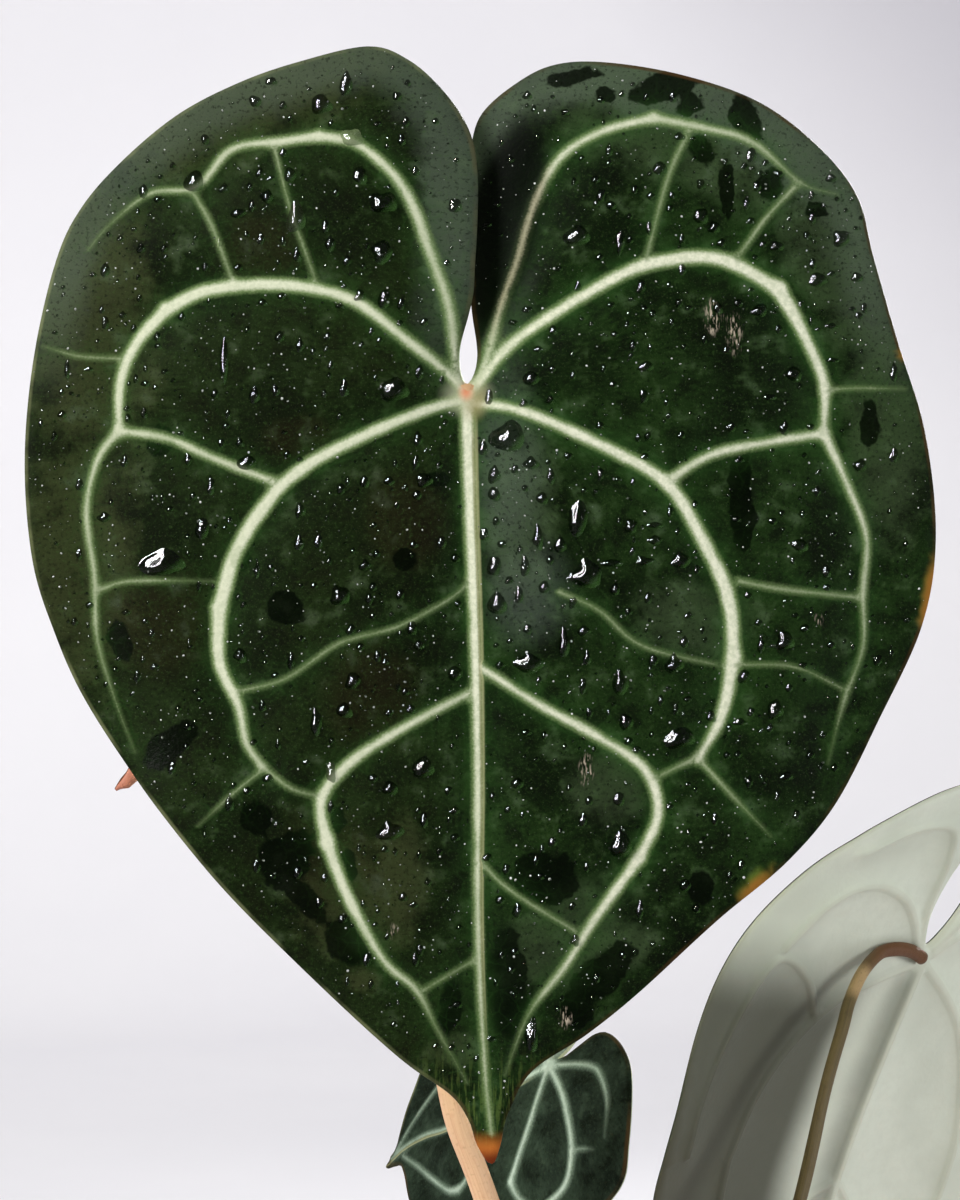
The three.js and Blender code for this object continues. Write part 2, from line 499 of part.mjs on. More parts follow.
// Stem with the raised scars of fallen leaves; grow widens it for cutting the pieces round it clear
function stemSolid(grow = 0) {
  const length = STEM.top - STEM.foot;
  const stemRadius = (share) => {
    const ripple = Math.max(0, Math.cos((share * length * Math.PI * 2) / STEM.scarStep));
    const scar = ripple ** 6 * STEM.scarHeight;
    const blunt = Math.sqrt(1 - smooth(0.86, 1.04, share) * 0.97);
    const foot = Math.sqrt(1 - (1 - smooth(0, 0.2, share)) * 0.6);
    return (STEM.radius + scar) * blunt * foot + grow;
  };
  const path = [[0.5, 0, STEM.foot], [1, -0.5, 88], [-0.5, 0.5, 108], [0, 0, STEM.top + grow]];
  const roots = [
    [[0, 0, 106], [9, -5, 109], [17, -10, 106], [22, -14, 99], [24, -16, 86]],
    [[0, 0, 109], [-3, -9, 112], [-5, -18, 109], [-8, -24, 101], [-9, -26, 88]],
    [[0, 0, 107], [-8, 4, 110], [-15, 8, 107], [-20, 12, 99], [-21, 14, 85]],
    [[0, 0, 104], [6, 8, 106], [10, 15, 103], [12, 19, 96], [12.5, 21, 84]],
    [[0, 0, 103], [9, 4, 105], [16, 4, 102], [22, 6, 96], [24, 7, 86]],
  ].map((root) => limb(root, (share) => ROOT.radius * (1.25 - 0.35 * share) + grow, ROOT.sides, ROOT.steps));
  return union([limb(path, stemRadius, STEM.sides, STEM.steps), ...roots]);
}

function petioleSolid(leaf, grow = 0) {
  const curve = new THREE.CatmullRomCurve3(leaf.petiole.map((point) => new THREE.Vector3(...point)));
  const length = curve.getLength();
  const { base, radius, joint, jointLength, sheathReach, taper } = PETIOLE;
  const radiusAt = (share) => {
    const sheath = Math.exp(-((share * length) / sheathReach)) * (base - radius);
    const swell = 1 - smooth(jointLength * 0.7, jointLength * 1.3, (1 - share) * length);
    return (radius * (1 - taper * share) + sheath + swell * (joint - radius)) * leaf.stalk + grow;
  };
  return solid(limb(leaf.petiole, radiusAt, PETIOLE.sides, PETIOLE.steps));
}

// A papery cataphyll: a curved, pointed sheet that stands round one side of the stem and leans away from it
const CATAPHYLL = { clear: 1.1, thickness: 0.8, lean: 3.5, columns: 6, rows: 5 };

function cataphyllSolid(direction, foot, height, spread) {
  const { clear, thickness, lean, columns, rows } = CATAPHYLL;
  const positions = [];
  const faces = [];
  const at = (row, column, skin) => (skin * (rows + 1) + row) * (columns + 1) + column;
  for (const skin of [0, 1]) {
    for (let row = 0; row <= rows; row += 1) {
      const share = row / rows;
      const halfAngle = spread * (1 - share ** 1.6) * 0.5 + 0.035;
      for (let column = 0; column <= columns; column += 1) {
        const angle = direction + ((column / columns) * 2 - 1) * halfAngle;
        const radius = STEM.radius + clear + skin * thickness + share * share * lean;
        positions.push(Math.cos(angle) * radius, Math.sin(angle) * radius, foot + height * share);
      }
    }
  }
  for (let row = 0; row < rows; row += 1) {
    for (let column = 0; column < columns; column += 1) {
      const corner = (skin) => [
        at(row, column, skin), at(row, column + 1, skin),
        at(row + 1, column + 1, skin), at(row + 1, column, skin),
      ];
      const [a, b, c, d] = corner(1);
      const [e, f, g, h] = corner(0);
      faces.push(a, b, c, a, c, d, e, g, f, e, h, g);
    }
  }
  const rim = [];
  for (let column = 0; column < columns; column += 1) rim.push([0, column]);
  for (let row = 0; row < rows; row += 1) rim.push([row, columns]);
  for (let column = columns; column > 0; column -= 1) rim.push([rows, column]);
  for (let row = rows; row > 0; row -= 1) rim.push([row, 0]);
  rim.forEach(([row, column], i) => {
    const [nextRow, nextColumn] = rim[(i + 1) % rim.length];
    const [a, b] = [at(row, column, 1), at(nextRow, nextColumn, 1)];
    const [c, d] = [at(row, column, 0), at(nextRow, nextColumn, 0)];
    faces.push(a, c, b, b, c, d);
  });
  const geometry = new THREE.BufferGeometry();
  geometry.setAttribute('position', new THREE.Float32BufferAttribute(positions, 3));
  geometry.setIndex(faces);
  return solid(geometry);
}

// Potting mix: fills the pot, with bark chips half sunk in its top and plain holes for stem and roots
function mixGeometry(standing) {
  const random = randomFrom(7);
  const foot = POT.floor + GAP;
  const wallAt = (z) => potInside(z) - GAP * 1.3;
  const profile = [
    [0, foot], [potInside(POT.floor) - 4 - GAP, foot], [wallAt(POT.floor + 5), POT.floor + 5 + GAP],
    [wallAt(POT.height - POT.rimHeight), POT.height - POT.rimHeight], [wallAt(MIX_LEVEL - 2), MIX_LEVEL - 2],
    [wallAt(MIX_LEVEL) - 3, MIX_LEVEL], [20, MIX_LEVEL + 1.5], [0, MIX_LEVEL + 2],
  ];
  const fill = turned(profile, POT.sides);
  const chips = Array.from({ length: BARK.count }, (_, i) => {
    // Even cover: each chip is one golden angle on from the last
    const angle = i * Math.PI * (3 - Math.sqrt(5));
    const reach = Math.sqrt((i + 0.7) / BARK.count) * BARK.reach;
    const sizes = [BARK.length, BARK.width].map((size) => size * (0.6 + 0.6 * random()));
    const chip = new THREE.BoxGeometry(...sizes, BARK.thickness * (0.7 + 0.5 * random()));
    chip.rotateX((random() - 0.5) * 0.9).rotateY((random() - 0.5) * 0.9).rotateZ(random() * Math.PI);
    const height = MIX_LEVEL + 1.2 + random() * 1.2;
    return chip.translate(Math.cos(angle) * reach, Math.sin(angle) * reach, height);
  });
  return surface(union([fill, ...chips]).subtract(standing));
}

const plant = new THREE.Group();

function addPiece(name, geometry, color, roughness) {
  const shaded = geometry.clone();
  shaded.computeVertexNormals();
  const mesh = new THREE.Mesh(shaded, new THREE.MeshStandardMaterial({ color, roughness, metalness: 0 }));
  mesh.name = name;
  plant.add(mesh);
}

addPiece('pot', potGeometry(), 0xb5694a, 0.85);

const wideStem = stemSolid(GAP);
addPiece('potting_mix', mixGeometry(wideStem), 0x4a3526, 0.95);
addPiece('stem', surface(stemSolid()), 0x6d6a45, 0.7);

const PETIOLE_COLORS = [0xd2a583, 0x8c7a55, 0x6b4a33, 0xa65340];
const BLADE_COLORS = [0x22381f, 0x24362a, 0x35492f, 0x6a4630];
const wideStanding = [wideStem];
LEAVES.forEach((leaf, i) => {
  const clearance = wideStanding.concat(solid(bladeGeometry(leaf, GAP)));
  const petiole = petioleSolid(leaf).subtract(wasm.Manifold.union(clearance));
  addPiece(`petiole_${leaf.name}`, surface(petiole), PETIOLE_COLORS[i], 0.6);
  addPiece(`blade_${leaf.name}`, bladeGeometry(leaf), BLADE_COLORS[i], 0.5);
  wideStanding.push(petioleSolid(leaf, GAP));
});

// Cataphylls: direction round the stem, foot, height and how far round each one wraps
const CATAPHYLLS = [
  [0.2, 108, 30, 2.1],
  [2.35, 112, 26, 1.7],
  [-2.05, 110, 22, 1.8],
];
const clearOfStanding = wasm.Manifold.union(wideStanding);
CATAPHYLLS.forEach(([direction, foot, height, spread], i) => {
  const sheet = cataphyllSolid(direction, foot, height, spread).subtract(clearOfStanding);
  addPiece(`cataphyll_${i + 1}`, surface(sheet), 0x8a6a44, 0.8);
});

export default plant;
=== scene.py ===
# %% [markdown]
# # A potted anthurium clarinervium
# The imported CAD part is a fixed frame: fourteen solids that say where the pot, the mix, the stem and every
# leaf are. This lesson dresses that frame. Each piece is made again over the same form with finer faces, and
# then gets a finish of its own. Everything is in metres at the end, but the plant is easier to think about
# in millimetres, so the numbers below are millimetres and one constant turns them into metres.

import json
import math

import bmesh
import bpy
import numpy as np
from mathutils import Matrix, Vector, noise
from mathutils.geometry import delaunay_2d_cdt

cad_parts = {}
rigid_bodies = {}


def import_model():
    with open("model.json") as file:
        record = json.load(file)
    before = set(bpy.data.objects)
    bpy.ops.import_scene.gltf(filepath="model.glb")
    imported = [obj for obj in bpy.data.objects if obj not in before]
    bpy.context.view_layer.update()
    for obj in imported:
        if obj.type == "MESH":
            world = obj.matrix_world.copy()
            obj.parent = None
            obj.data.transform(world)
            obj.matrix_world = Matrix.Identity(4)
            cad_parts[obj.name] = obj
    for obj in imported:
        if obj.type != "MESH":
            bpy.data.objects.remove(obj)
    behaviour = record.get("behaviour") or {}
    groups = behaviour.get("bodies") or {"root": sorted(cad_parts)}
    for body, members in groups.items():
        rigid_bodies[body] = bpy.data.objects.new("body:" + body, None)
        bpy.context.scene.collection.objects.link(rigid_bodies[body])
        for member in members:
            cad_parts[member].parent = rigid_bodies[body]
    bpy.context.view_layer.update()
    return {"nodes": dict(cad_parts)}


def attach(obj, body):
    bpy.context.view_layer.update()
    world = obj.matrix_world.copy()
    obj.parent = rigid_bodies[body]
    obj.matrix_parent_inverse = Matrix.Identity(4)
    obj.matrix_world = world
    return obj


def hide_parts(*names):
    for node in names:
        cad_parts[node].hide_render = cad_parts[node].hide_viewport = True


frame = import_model()
MM = 0.001
print("CAD nodes:", sorted(frame["nodes"]))

# %% [markdown]
# ## Camera and room
# The photograph was taken level with the upper blade, square to it, from about an arm's length: its midrib
# stands upright and both halves look alike. A lens has to be worked out from that distance and from the
# blade's real size. One pixel of the picture is 0.1852 mm on the plane of the blade, so the picture is
# 222 mm tall there. The room is one sheet that curves up from floor to wall, so no corner shows.

# %% Camera
MM_PER_PIXEL = 0.1852
PICTURE = (960, 1200)
JUNCTION_PIXEL = (467, 392)
SENSOR, CAMERA_DISTANCE, BLADE_PLANE = 36, 650, -46

camera = bpy.data.objects.new("camera", bpy.data.cameras.new("camera"))
camera.data.sensor_width = SENSOR
camera.data.lens = SENSOR * CAMERA_DISTANCE / (PICTURE[1] * MM_PER_PIXEL)
camera.data.clip_start, camera.data.clip_end = 0.01, 120
camera.location = Vector((-34.3, BLADE_PLANE - CAMERA_DISTANCE, 324.2)) * MM
camera.rotation_euler = (math.pi / 2, 0, 0)
bpy.context.scene.collection.objects.link(camera)
bpy.context.scene.camera = camera
print("lens in mm:", round(camera.data.lens, 1))


# %% [markdown]
# ## A small language for finishes
# A material is a tree of nodes. Written node by node it is long and hard to follow, so one class wraps a
# socket and lets Python's own operators add the Math nodes, and one method adds every other node.

# %% Links that take part in Python expressions
class Link:
    """A socket of a tree. Arithmetic on it adds Math nodes."""

    def __init__(self, tree, socket):
        self.tree, self.socket = tree, socket

    def math(self, operation, *others):
        return self.tree.node("ShaderNodeMath", {"operation": operation}, dict(enumerate([self, *others])))

    def __add__(self, other):
        return self.math("ADD", other)

    def __mul__(self, other):
        return self.math("MULTIPLY", other)

    def __sub__(self, other):
        return self.math("SUBTRACT", other)

    def __truediv__(self, other):
        return self.math("DIVIDE", other)

    def __rsub__(self, other):
        return self * -1 + other

    def __pow__(self, other):
        return self.math("POWER", other)

    __radd__ = __add__
    __rmul__ = __mul__

    def exp(self):
        return self.math("EXPONENT")

    def larger(self, other):
        return self.math("MAXIMUM", other)

    def smaller(self, other):
        return self.math("MINIMUM", other)

    def rise(self, low, high):
        """A smooth step from 0 at low to 1 at high, or down again where low is the larger."""
        return self.tree.node("ShaderNodeMapRange", {"interpolation_type": "SMOOTHSTEP"},
                              {"Value": self, "From Min": low, "From Max": high})

    def also(self, name):
        """Another output of the same node."""
        return Link(self.tree, self.socket.node.outputs[name])


class Tree:
    def __init__(self, tree):
        self.tree = tree

    def node(self, kind, settings=None, inputs=None, out=0):
        made = self.tree.nodes.new(kind)
        for setting, value in (settings or {}).items():
            setattr(made, setting, value)
        for key, value in (inputs or {}).items():
            if isinstance(value, Link):
                self.tree.links.new(value.socket, made.inputs[key])
            else:
                made.inputs[key].default_value = value
        return Link(self, made.outputs[out]) if made.outputs else None


# %% A finish is a material's tree
def srgb(red, green, blue):
    """A colour as a screen shows it, 0 to 255, as the linear colour a shader takes."""
    levels = [level / 255 for level in (red, green, blue)]
    return tuple(v / 12.92 if v <= 0.04045 else ((v + 0.055) / 1.055) ** 2.4 for v in levels) + (1.0,)


def between(share, a, b):
    """The linear colour that share of tone b and the rest of tone a make."""
    return tuple(x + (y - x) * share for x, y in zip(srgb(*a), srgb(*b)))


class Finish(Tree):
    """A material, built as coats of colour painted over a ground tone."""

    def __init__(self, name, ground):
        self.material = bpy.data.materials.new(name)
        self.material.use_nodes = True
        super().__init__(self.material.node_tree)
        self.tree.nodes.clear()
        self.color = srgb(*ground)

    def paint(self, share, tone):
        """A coat of a tone, or of a colour from other nodes, as thick as share says."""
        self.color = self.mix(share, self.color, tone if isinstance(tone, Link) else srgb(*tone))

    def mix(self, share, a, b):
        return self.node("ShaderNodeMix", {"data_type": "RGBA"}, {0: share, 6: a, 7: b}, out=2)

    def attribute(self, name, out="Fac"):
        return self.node("ShaderNodeAttribute", {"attribute_name": name}, out=out)

    def vector(self, operation, a, b=(0, 0, 0), out="Vector"):
        return self.node("ShaderNodeVectorMath", {"operation": operation}, {0: a, 1: b}, out=out)

    def axis(self, vector, name):
        return self.node("ShaderNodeSeparateXYZ", {}, {"Vector": vector}, out=name)

    def place(self):
        """Object coordinates in millimetres."""
        return self.vector("MULTIPLY", self.node("ShaderNodeTexCoord", out="Object"), (1000, 1000, 1000))

    def grain(self, where, scale, detail=2.0, roughness=0.5, out="Fac", stretch=None):
        """Noise with a feature about every 1/scale millimetres, or other spans in x, y and z by stretch."""
        if stretch:
            where = self.vector("MULTIPLY", where, stretch)
        return self.node("ShaderNodeTexNoise", {"noise_dimensions": "3D"},
                         {"Vector": where, "Scale": scale, "Detail": detail, "Roughness": roughness}, out=out)

    def net(self, where, scale, bends, reach, line):
        """Thin lines round cells about 1/scale millimetres wide, pushed aside by a noise of bends and reach."""
        push = self.vector("SUBTRACT", self.grain(where, bends, out="Color"), (0.5, 0.5, 0.5))
        bent = self.vector("ADD", where, self.vector("MULTIPLY", push, (reach * 2, reach * 2, 0)))
        cells = self.node("ShaderNodeTexVoronoi", {"feature": "DISTANCE_TO_EDGE"},
                          {"Vector": bent, "Scale": scale}, out="Distance")
        return cells.rise(*line)

    def spot(self, where, centre, reach, lean, soft):
        """1 inside an oval patch of the flat leaf, 0 outside it."""
        local = self.node("ShaderNodeMapping", {"vector_type": "TEXTURE"},
                          {"Vector": where, "Location": (*centre, 0), "Rotation": (0, 0, math.radians(lean)),
                           "Scale": (*reach, 1)})
        return self.vector("LENGTH", local, out="Value").rise(1 + soft, 1 - soft)

    def bump(self, height, depth):
        """Relief of that depth in millimetres where height goes from 0 to 1."""
        return self.node("ShaderNodeBump", {}, {"Height": height, "Distance": depth * MM, "Strength": 1.0})

    def skin(self, roughness, relief=None, **constants):
        """The painted colour as a surface. Words in the names of constants are joined by underscores."""
        inputs = {"Base Color": self.color, "Roughness": roughness}
        inputs.update({name.replace("_", " "): value for name, value in constants.items()})
        if relief is not None:
            inputs["Normal"] = relief
        shader = self.node("ShaderNodeBsdfPrincipled", {}, inputs)
        self.node("ShaderNodeOutputMaterial", {}, {"Surface": shader})
        return self.material


print("finishes are written as expressions from here on")


# %% [markdown]
# ## Floor, wall and light
# The photograph has a pale wall that falls into shade at the upper right, and daylight from the left, a little
# above and in front of the plant. The room is one sheet whose wall stands well behind the plant, so that the
# plant can be looked at from all sides. A tall window gives the daylight, a weaker light fills the plant's
# right side, another its back, a wide one washes the wall, and the pale room does the rest. The photograph's
# drops are dark with hard glints. Water as clear as real water would lighten them, so theirs mirrors only a
# seventieth of what it faces, and a very bright sky is linked to the water alone. The sheet is left out of
# the plant: it joins no body, and the fill lights only the plant.

# %% Meshes
def linked(name, data):
    """A new object in the scene."""
    made = bpy.data.objects.new(name, data)
    bpy.context.scene.collection.objects.link(made)
    return made


def mesh_of(name, places, faces):
    """A smooth mesh from places in millimetres."""
    mesh = bpy.data.meshes.new(name)
    mesh.from_pydata((np.asarray(places, float) * MM).tolist(), [], [tuple(map(int, face)) for face in faces])
    mesh.polygons.foreach_set("use_smooth", [True] * len(mesh.polygons))
    return mesh


def finished_mesh(thing):
    """What an object's modifiers make of it, as a plain mesh."""
    return bpy.data.meshes.new_from_object(thing.evaluated_get(bpy.context.evaluated_depsgraph_get()))


# %% Room sheet
FLOOR_FRONT, FLOOR_NEAR, FLOOR_BACK, BEND_RADIUS, WALL_TOP, ROOM_HALF = -90000, -7000, 1900, 500, 3200, 16000


def room_sheet():
    profile = [(FLOOR_FRONT, 0), (FLOOR_NEAR, 0)]
    profile += [(FLOOR_BACK + BEND_RADIUS * math.sin(a), BEND_RADIUS * (1 - math.cos(a)))
                for a in np.linspace(0, math.pi / 2, 24)]
    profile.append((FLOOR_BACK + BEND_RADIUS, WALL_TOP))
    corners = [(x, y, z) for y, z in profile for x in (-ROOM_HALF, ROOM_HALF)]
    faces = [(2 * i, 2 * i + 1, 2 * i + 3, 2 * i + 2) for i in range(len(profile) - 1)]
    sheet = linked("room_sheet", mesh_of("room_sheet", corners, faces))
    wall = Finish("pale wall", (234, 233, 237))
    place = wall.place()
    height = wall.axis(place, "Z")
    wall.paint(wall.grain(place, 0.004, 3.0), (243, 242, 244))
    # Painted shade: the wall's colour darkens toward the upper right and, more faintly, toward the top
    shade = (wall.axis(place, "X") + height * 1.2).rise(850, 1500) * 0.72
    wall.paint(shade.larger(height.rise(450, 900) * 0.22), (186, 184, 192))
    wall.paint(wall.axis(place, "Y").rise(1300, 700), (200, 199, 203))
    sheet.data.materials.append(wall.skin(0.85))
    return sheet


room = room_sheet()
print("room sheet faces:", len(room.data.polygons))


# %% Lights
PLANT, WINDOW = (-0.03, 0, 0.3), (-1.3, -0.85, 1.05)
# Place, aim, width and height, watts, colour, spread in degrees
LAMPS = {
    "window": (WINDOW, PLANT, (0.5, 1.3), 29, (1.0, 0.99, 0.96), 180),
    "bright sky": (WINDOW, PLANT, (1.4, 2.8), 1500, (1.0, 1.0, 1.0), 180),
    "fill": ((1.5, -0.9, 0.45), PLANT, (0.35, 0.6), 12, (0.97, 0.98, 1.0), 180),
    "wall wash": ((-0.35, 0.75, 1.5), (-0.15, 2.4, 0.35), (1.8, 0.5), 11.6, (1.0, 0.99, 0.99), 125),
    "back fill": ((0.9, 1.5, 0.95), (0, 0, 0.25), (0.6, 0.6), 9, (1.0, 1.0, 1.0), 90),
}


def soft_light(name, at, aim, size, power, color, spread):
    light = bpy.data.lights.new(name, "AREA")
    light.shape = "RECTANGLE"
    light.size, light.size_y = size
    light.energy, light.color, light.spread = power, color, math.radians(spread)
    lamp = linked(name, light)
    lamp.location = at
    lamp.rotation_euler = (Vector(aim) - Vector(at)).to_track_quat("-Z", "Y").to_euler()
    return lamp


lamps = {name: soft_light(name, *numbers) for name, numbers in LAMPS.items()}
wet_things, plant_things = (bpy.data.collections.new(name) for name in ("wet things", "plant things"))
lamps["bright sky"].light_linking.receiver_collection = wet_things
lamps["bright sky"].visible_diffuse = False
lamps["fill"].light_linking.receiver_collection = plant_things

world = bpy.data.worlds.new("daylight")
world.use_nodes = True
sky = world.node_tree.nodes["Background"].inputs
sky["Color"].default_value, sky["Strength"].default_value = (0.97, 0.97, 1.0, 1), 0.28
bpy.context.scene.world = world
bpy.context.scene.view_settings.view_transform = "Standard"
print("lamps:", ", ".join(lamps))


# %% [markdown]
# ## Lines, tubes and pieces
# Leaf margins, veins and petioles are smooth curves through a few points. A Catmull-Rom curve goes through
# every point it is given, so the same points that shape the CAD solids shape these finer pieces.

# %% Smooth lines
def draws(seed):
    """Even random numbers from 0 to 1, the same on every run."""
    state = seed
    while True:
        state = (state * 1664525 + 1013904223) % 4294967296
        yield state / 4294967296


def smooth_line(points, step, closed=False):
    """Points about one step apart along a smooth curve through the given ones."""
    p = np.array(points, float)
    count = len(p)
    line = []
    for i in range(count if closed else count - 1):
        start, end = p[i], p[(i + 1) % count]
        before = p[i - 1] if closed or i > 0 else 2 * start - end
        after = p[(i + 2) % count] if closed or i + 2 < count else 2 * end - start
        parts = max(1, round(float(np.linalg.norm(end - start)) / step))
        t = (np.arange(parts) / parts)[:, None]
        leave, arrive = (end - before) / 2, (after - start) / 2
        line.extend(start + leave * t + (3 * (end - start) - 2 * leave - arrive) * t**2
                    + (leave + arrive - 2 * (end - start)) * t**3)
    if not closed:
        line.append(p[-1])
    return np.array(line)


def rise(low, high, value):
    t = np.clip((value - low) / (high - low), 0, 1)
    return t * t * (3 - 2 * t)


def add_piece(name, places, faces, finishes, slot=None, stands_for=(), attributes=None, face_finish=None):
    """A mesh object from millimetre places, with its finishes and attributes, declared to the frame."""
    made = linked(name, mesh_of(name, places, faces))
    for finish in finishes:
        made.data.materials.append(finish)
    if face_finish is not None:
        made.data.polygons.foreach_set("material_index", np.asarray(face_finish, np.int32))
    for key, values in (attributes or {}).items():
        values = np.asarray(values, np.float32)
        kind, field = ("FLOAT", "value") if values.ndim == 1 else ("FLOAT_VECTOR", "vector")
        made.data.attributes.new(key, kind, "POINT").data.foreach_set(field, values.ravel())
    made.data.update()
    return declare(made, stands_for)


def declare(made, stands_for=()):
    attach(made, "root")
    if stands_for:
        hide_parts(*stands_for)
    made.data.calc_loop_triangles()
    print(f"{made.name}: {len(made.data.loop_triangles)} triangles")
    return made


# %% Round limbs
def turns(sides):
    """The angles of the sides of a ring."""
    return np.arange(sides) / sides * 2 * math.pi


def tube_faces(sides, rings, foot, head, first=0):
    """Faces that join rings of points, with a fan to a middle point at each end."""
    faces = []
    for j in range(sides):
        k = (j + 1) % sides
        for i in range(rings - 1):
            a = first + i * sides
            faces.append((a + j, a + k, a + sides + k, a + sides + j))
        last = first + (rings - 1) * sides
        faces += [(foot, first + k, first + j), (head, last + j, last + k)]
    return faces


def limb(path, radius_at, sides, steps, wobble=0.0, seed=0):
    """Places, faces, and way round and run of each place of a closed round limb along a path."""
    fine = smooth_line(path, 0.5)
    run = np.concatenate([[0], np.cumsum(np.linalg.norm(np.diff(fine, axis=0), axis=1))])
    shares = np.linspace(0, 1, steps + 1)
    centre = np.stack([np.interp(shares * run[-1], run, fine[:, k]) for k in range(3)], 1)
    tangent = np.gradient(centre, axis=0)
    tangent /= np.linalg.norm(tangent, axis=1)[:, None]
    side = np.cross(tangent[0], (0.3, 1, 0.1))
    places, around, angles = [], [], turns(sides)
    for i, share in enumerate(shares):
        side = side - tangent[i] * (side @ tangent[i])
        side /= np.linalg.norm(side)
        other = np.cross(tangent[i], side)
        ring = np.cos(angles)[:, None] * side + np.sin(angles)[:, None] * other
        radius = np.full(sides, radius_at(share))
        if wobble:
            drift = Vector((seed, 0, share * run[-1] * 0.08))
            radius += [wobble * noise.noise(Vector(way * 1.3) + drift) for way in ring]
        places.append(centre[i] + ring * radius[:, None])
        around.append(np.stack([np.cos(angles), np.sin(angles), np.full(sides, share * run[-1])], 1))
    places = np.concatenate([*places, centre[:1], centre[-1:]])
    around = np.concatenate([*around, [[0, 0, 0]], [[0, 0, run[-1]]]])
    return places, tube_faces(sides, steps + 1, len(places) - 2, len(places) - 1), around


print("a limb of 8 sides and 4 steps has", len(limb([(0, 0, 0), (0, 0, 9)], lambda s: 1, 8, 4)[1]), "faces")

# %% [markdown]
# ## Leaves as flat drawings
# A leaf is drawn flat first: its margin and the centre lines of its veins, with x across and y from the tip
# up through the junction, where the petiole meets the blade. The large leaf and the low one show their faces,
# so each has its own drawing. The other two share one heart shape, because little of them shows.

# %% The large leaf's drawing
LARGE_OUTLINE = [
    [0, 1.5], [-2.5, 7], [-3.5, 14], [-3.5, 22], [-3, 31.5], [-3, 41.5], [-4.5, 50], [-8, 57],
    [-13, 62.5], [-19.5, 65], [-31.5, 62], [-42.5, 58], [-54, 52], [-65, 43], [-72.5, 34.5], [-77, 25],
    [-81, 7], [-82.5, -12], [-81, -31], [-77, -44.5], [-72, -56], [-64, -68.5], [-54, -81.5],
    [-42.5, -95], [-27.5, -110], [-12.5, -123.5], [-3, -130.5], [0.5, -135.5], [2, -140], [4.5, -143.5],
    [6, -140], [7.5, -134], [12, -126], [22.5, -119], [32.5, -111], [47, -97.5], [59.5, -87], [69, -76],
    [77, -61], [85, -43.5], [87.5, -27], [85.5, -7], [80.5, 10], [76, 26], [73, 37.5], [65.5, 46.5],
    [54.5, 54.5], [40, 59.5], [25.5, 62], [17, 61.5], [11, 58], [6.5, 53], [5, 47], [4.5, 39.5], [4.5, 31],
    [5, 22.5], [4.5, 14.5], [3, 7],
]
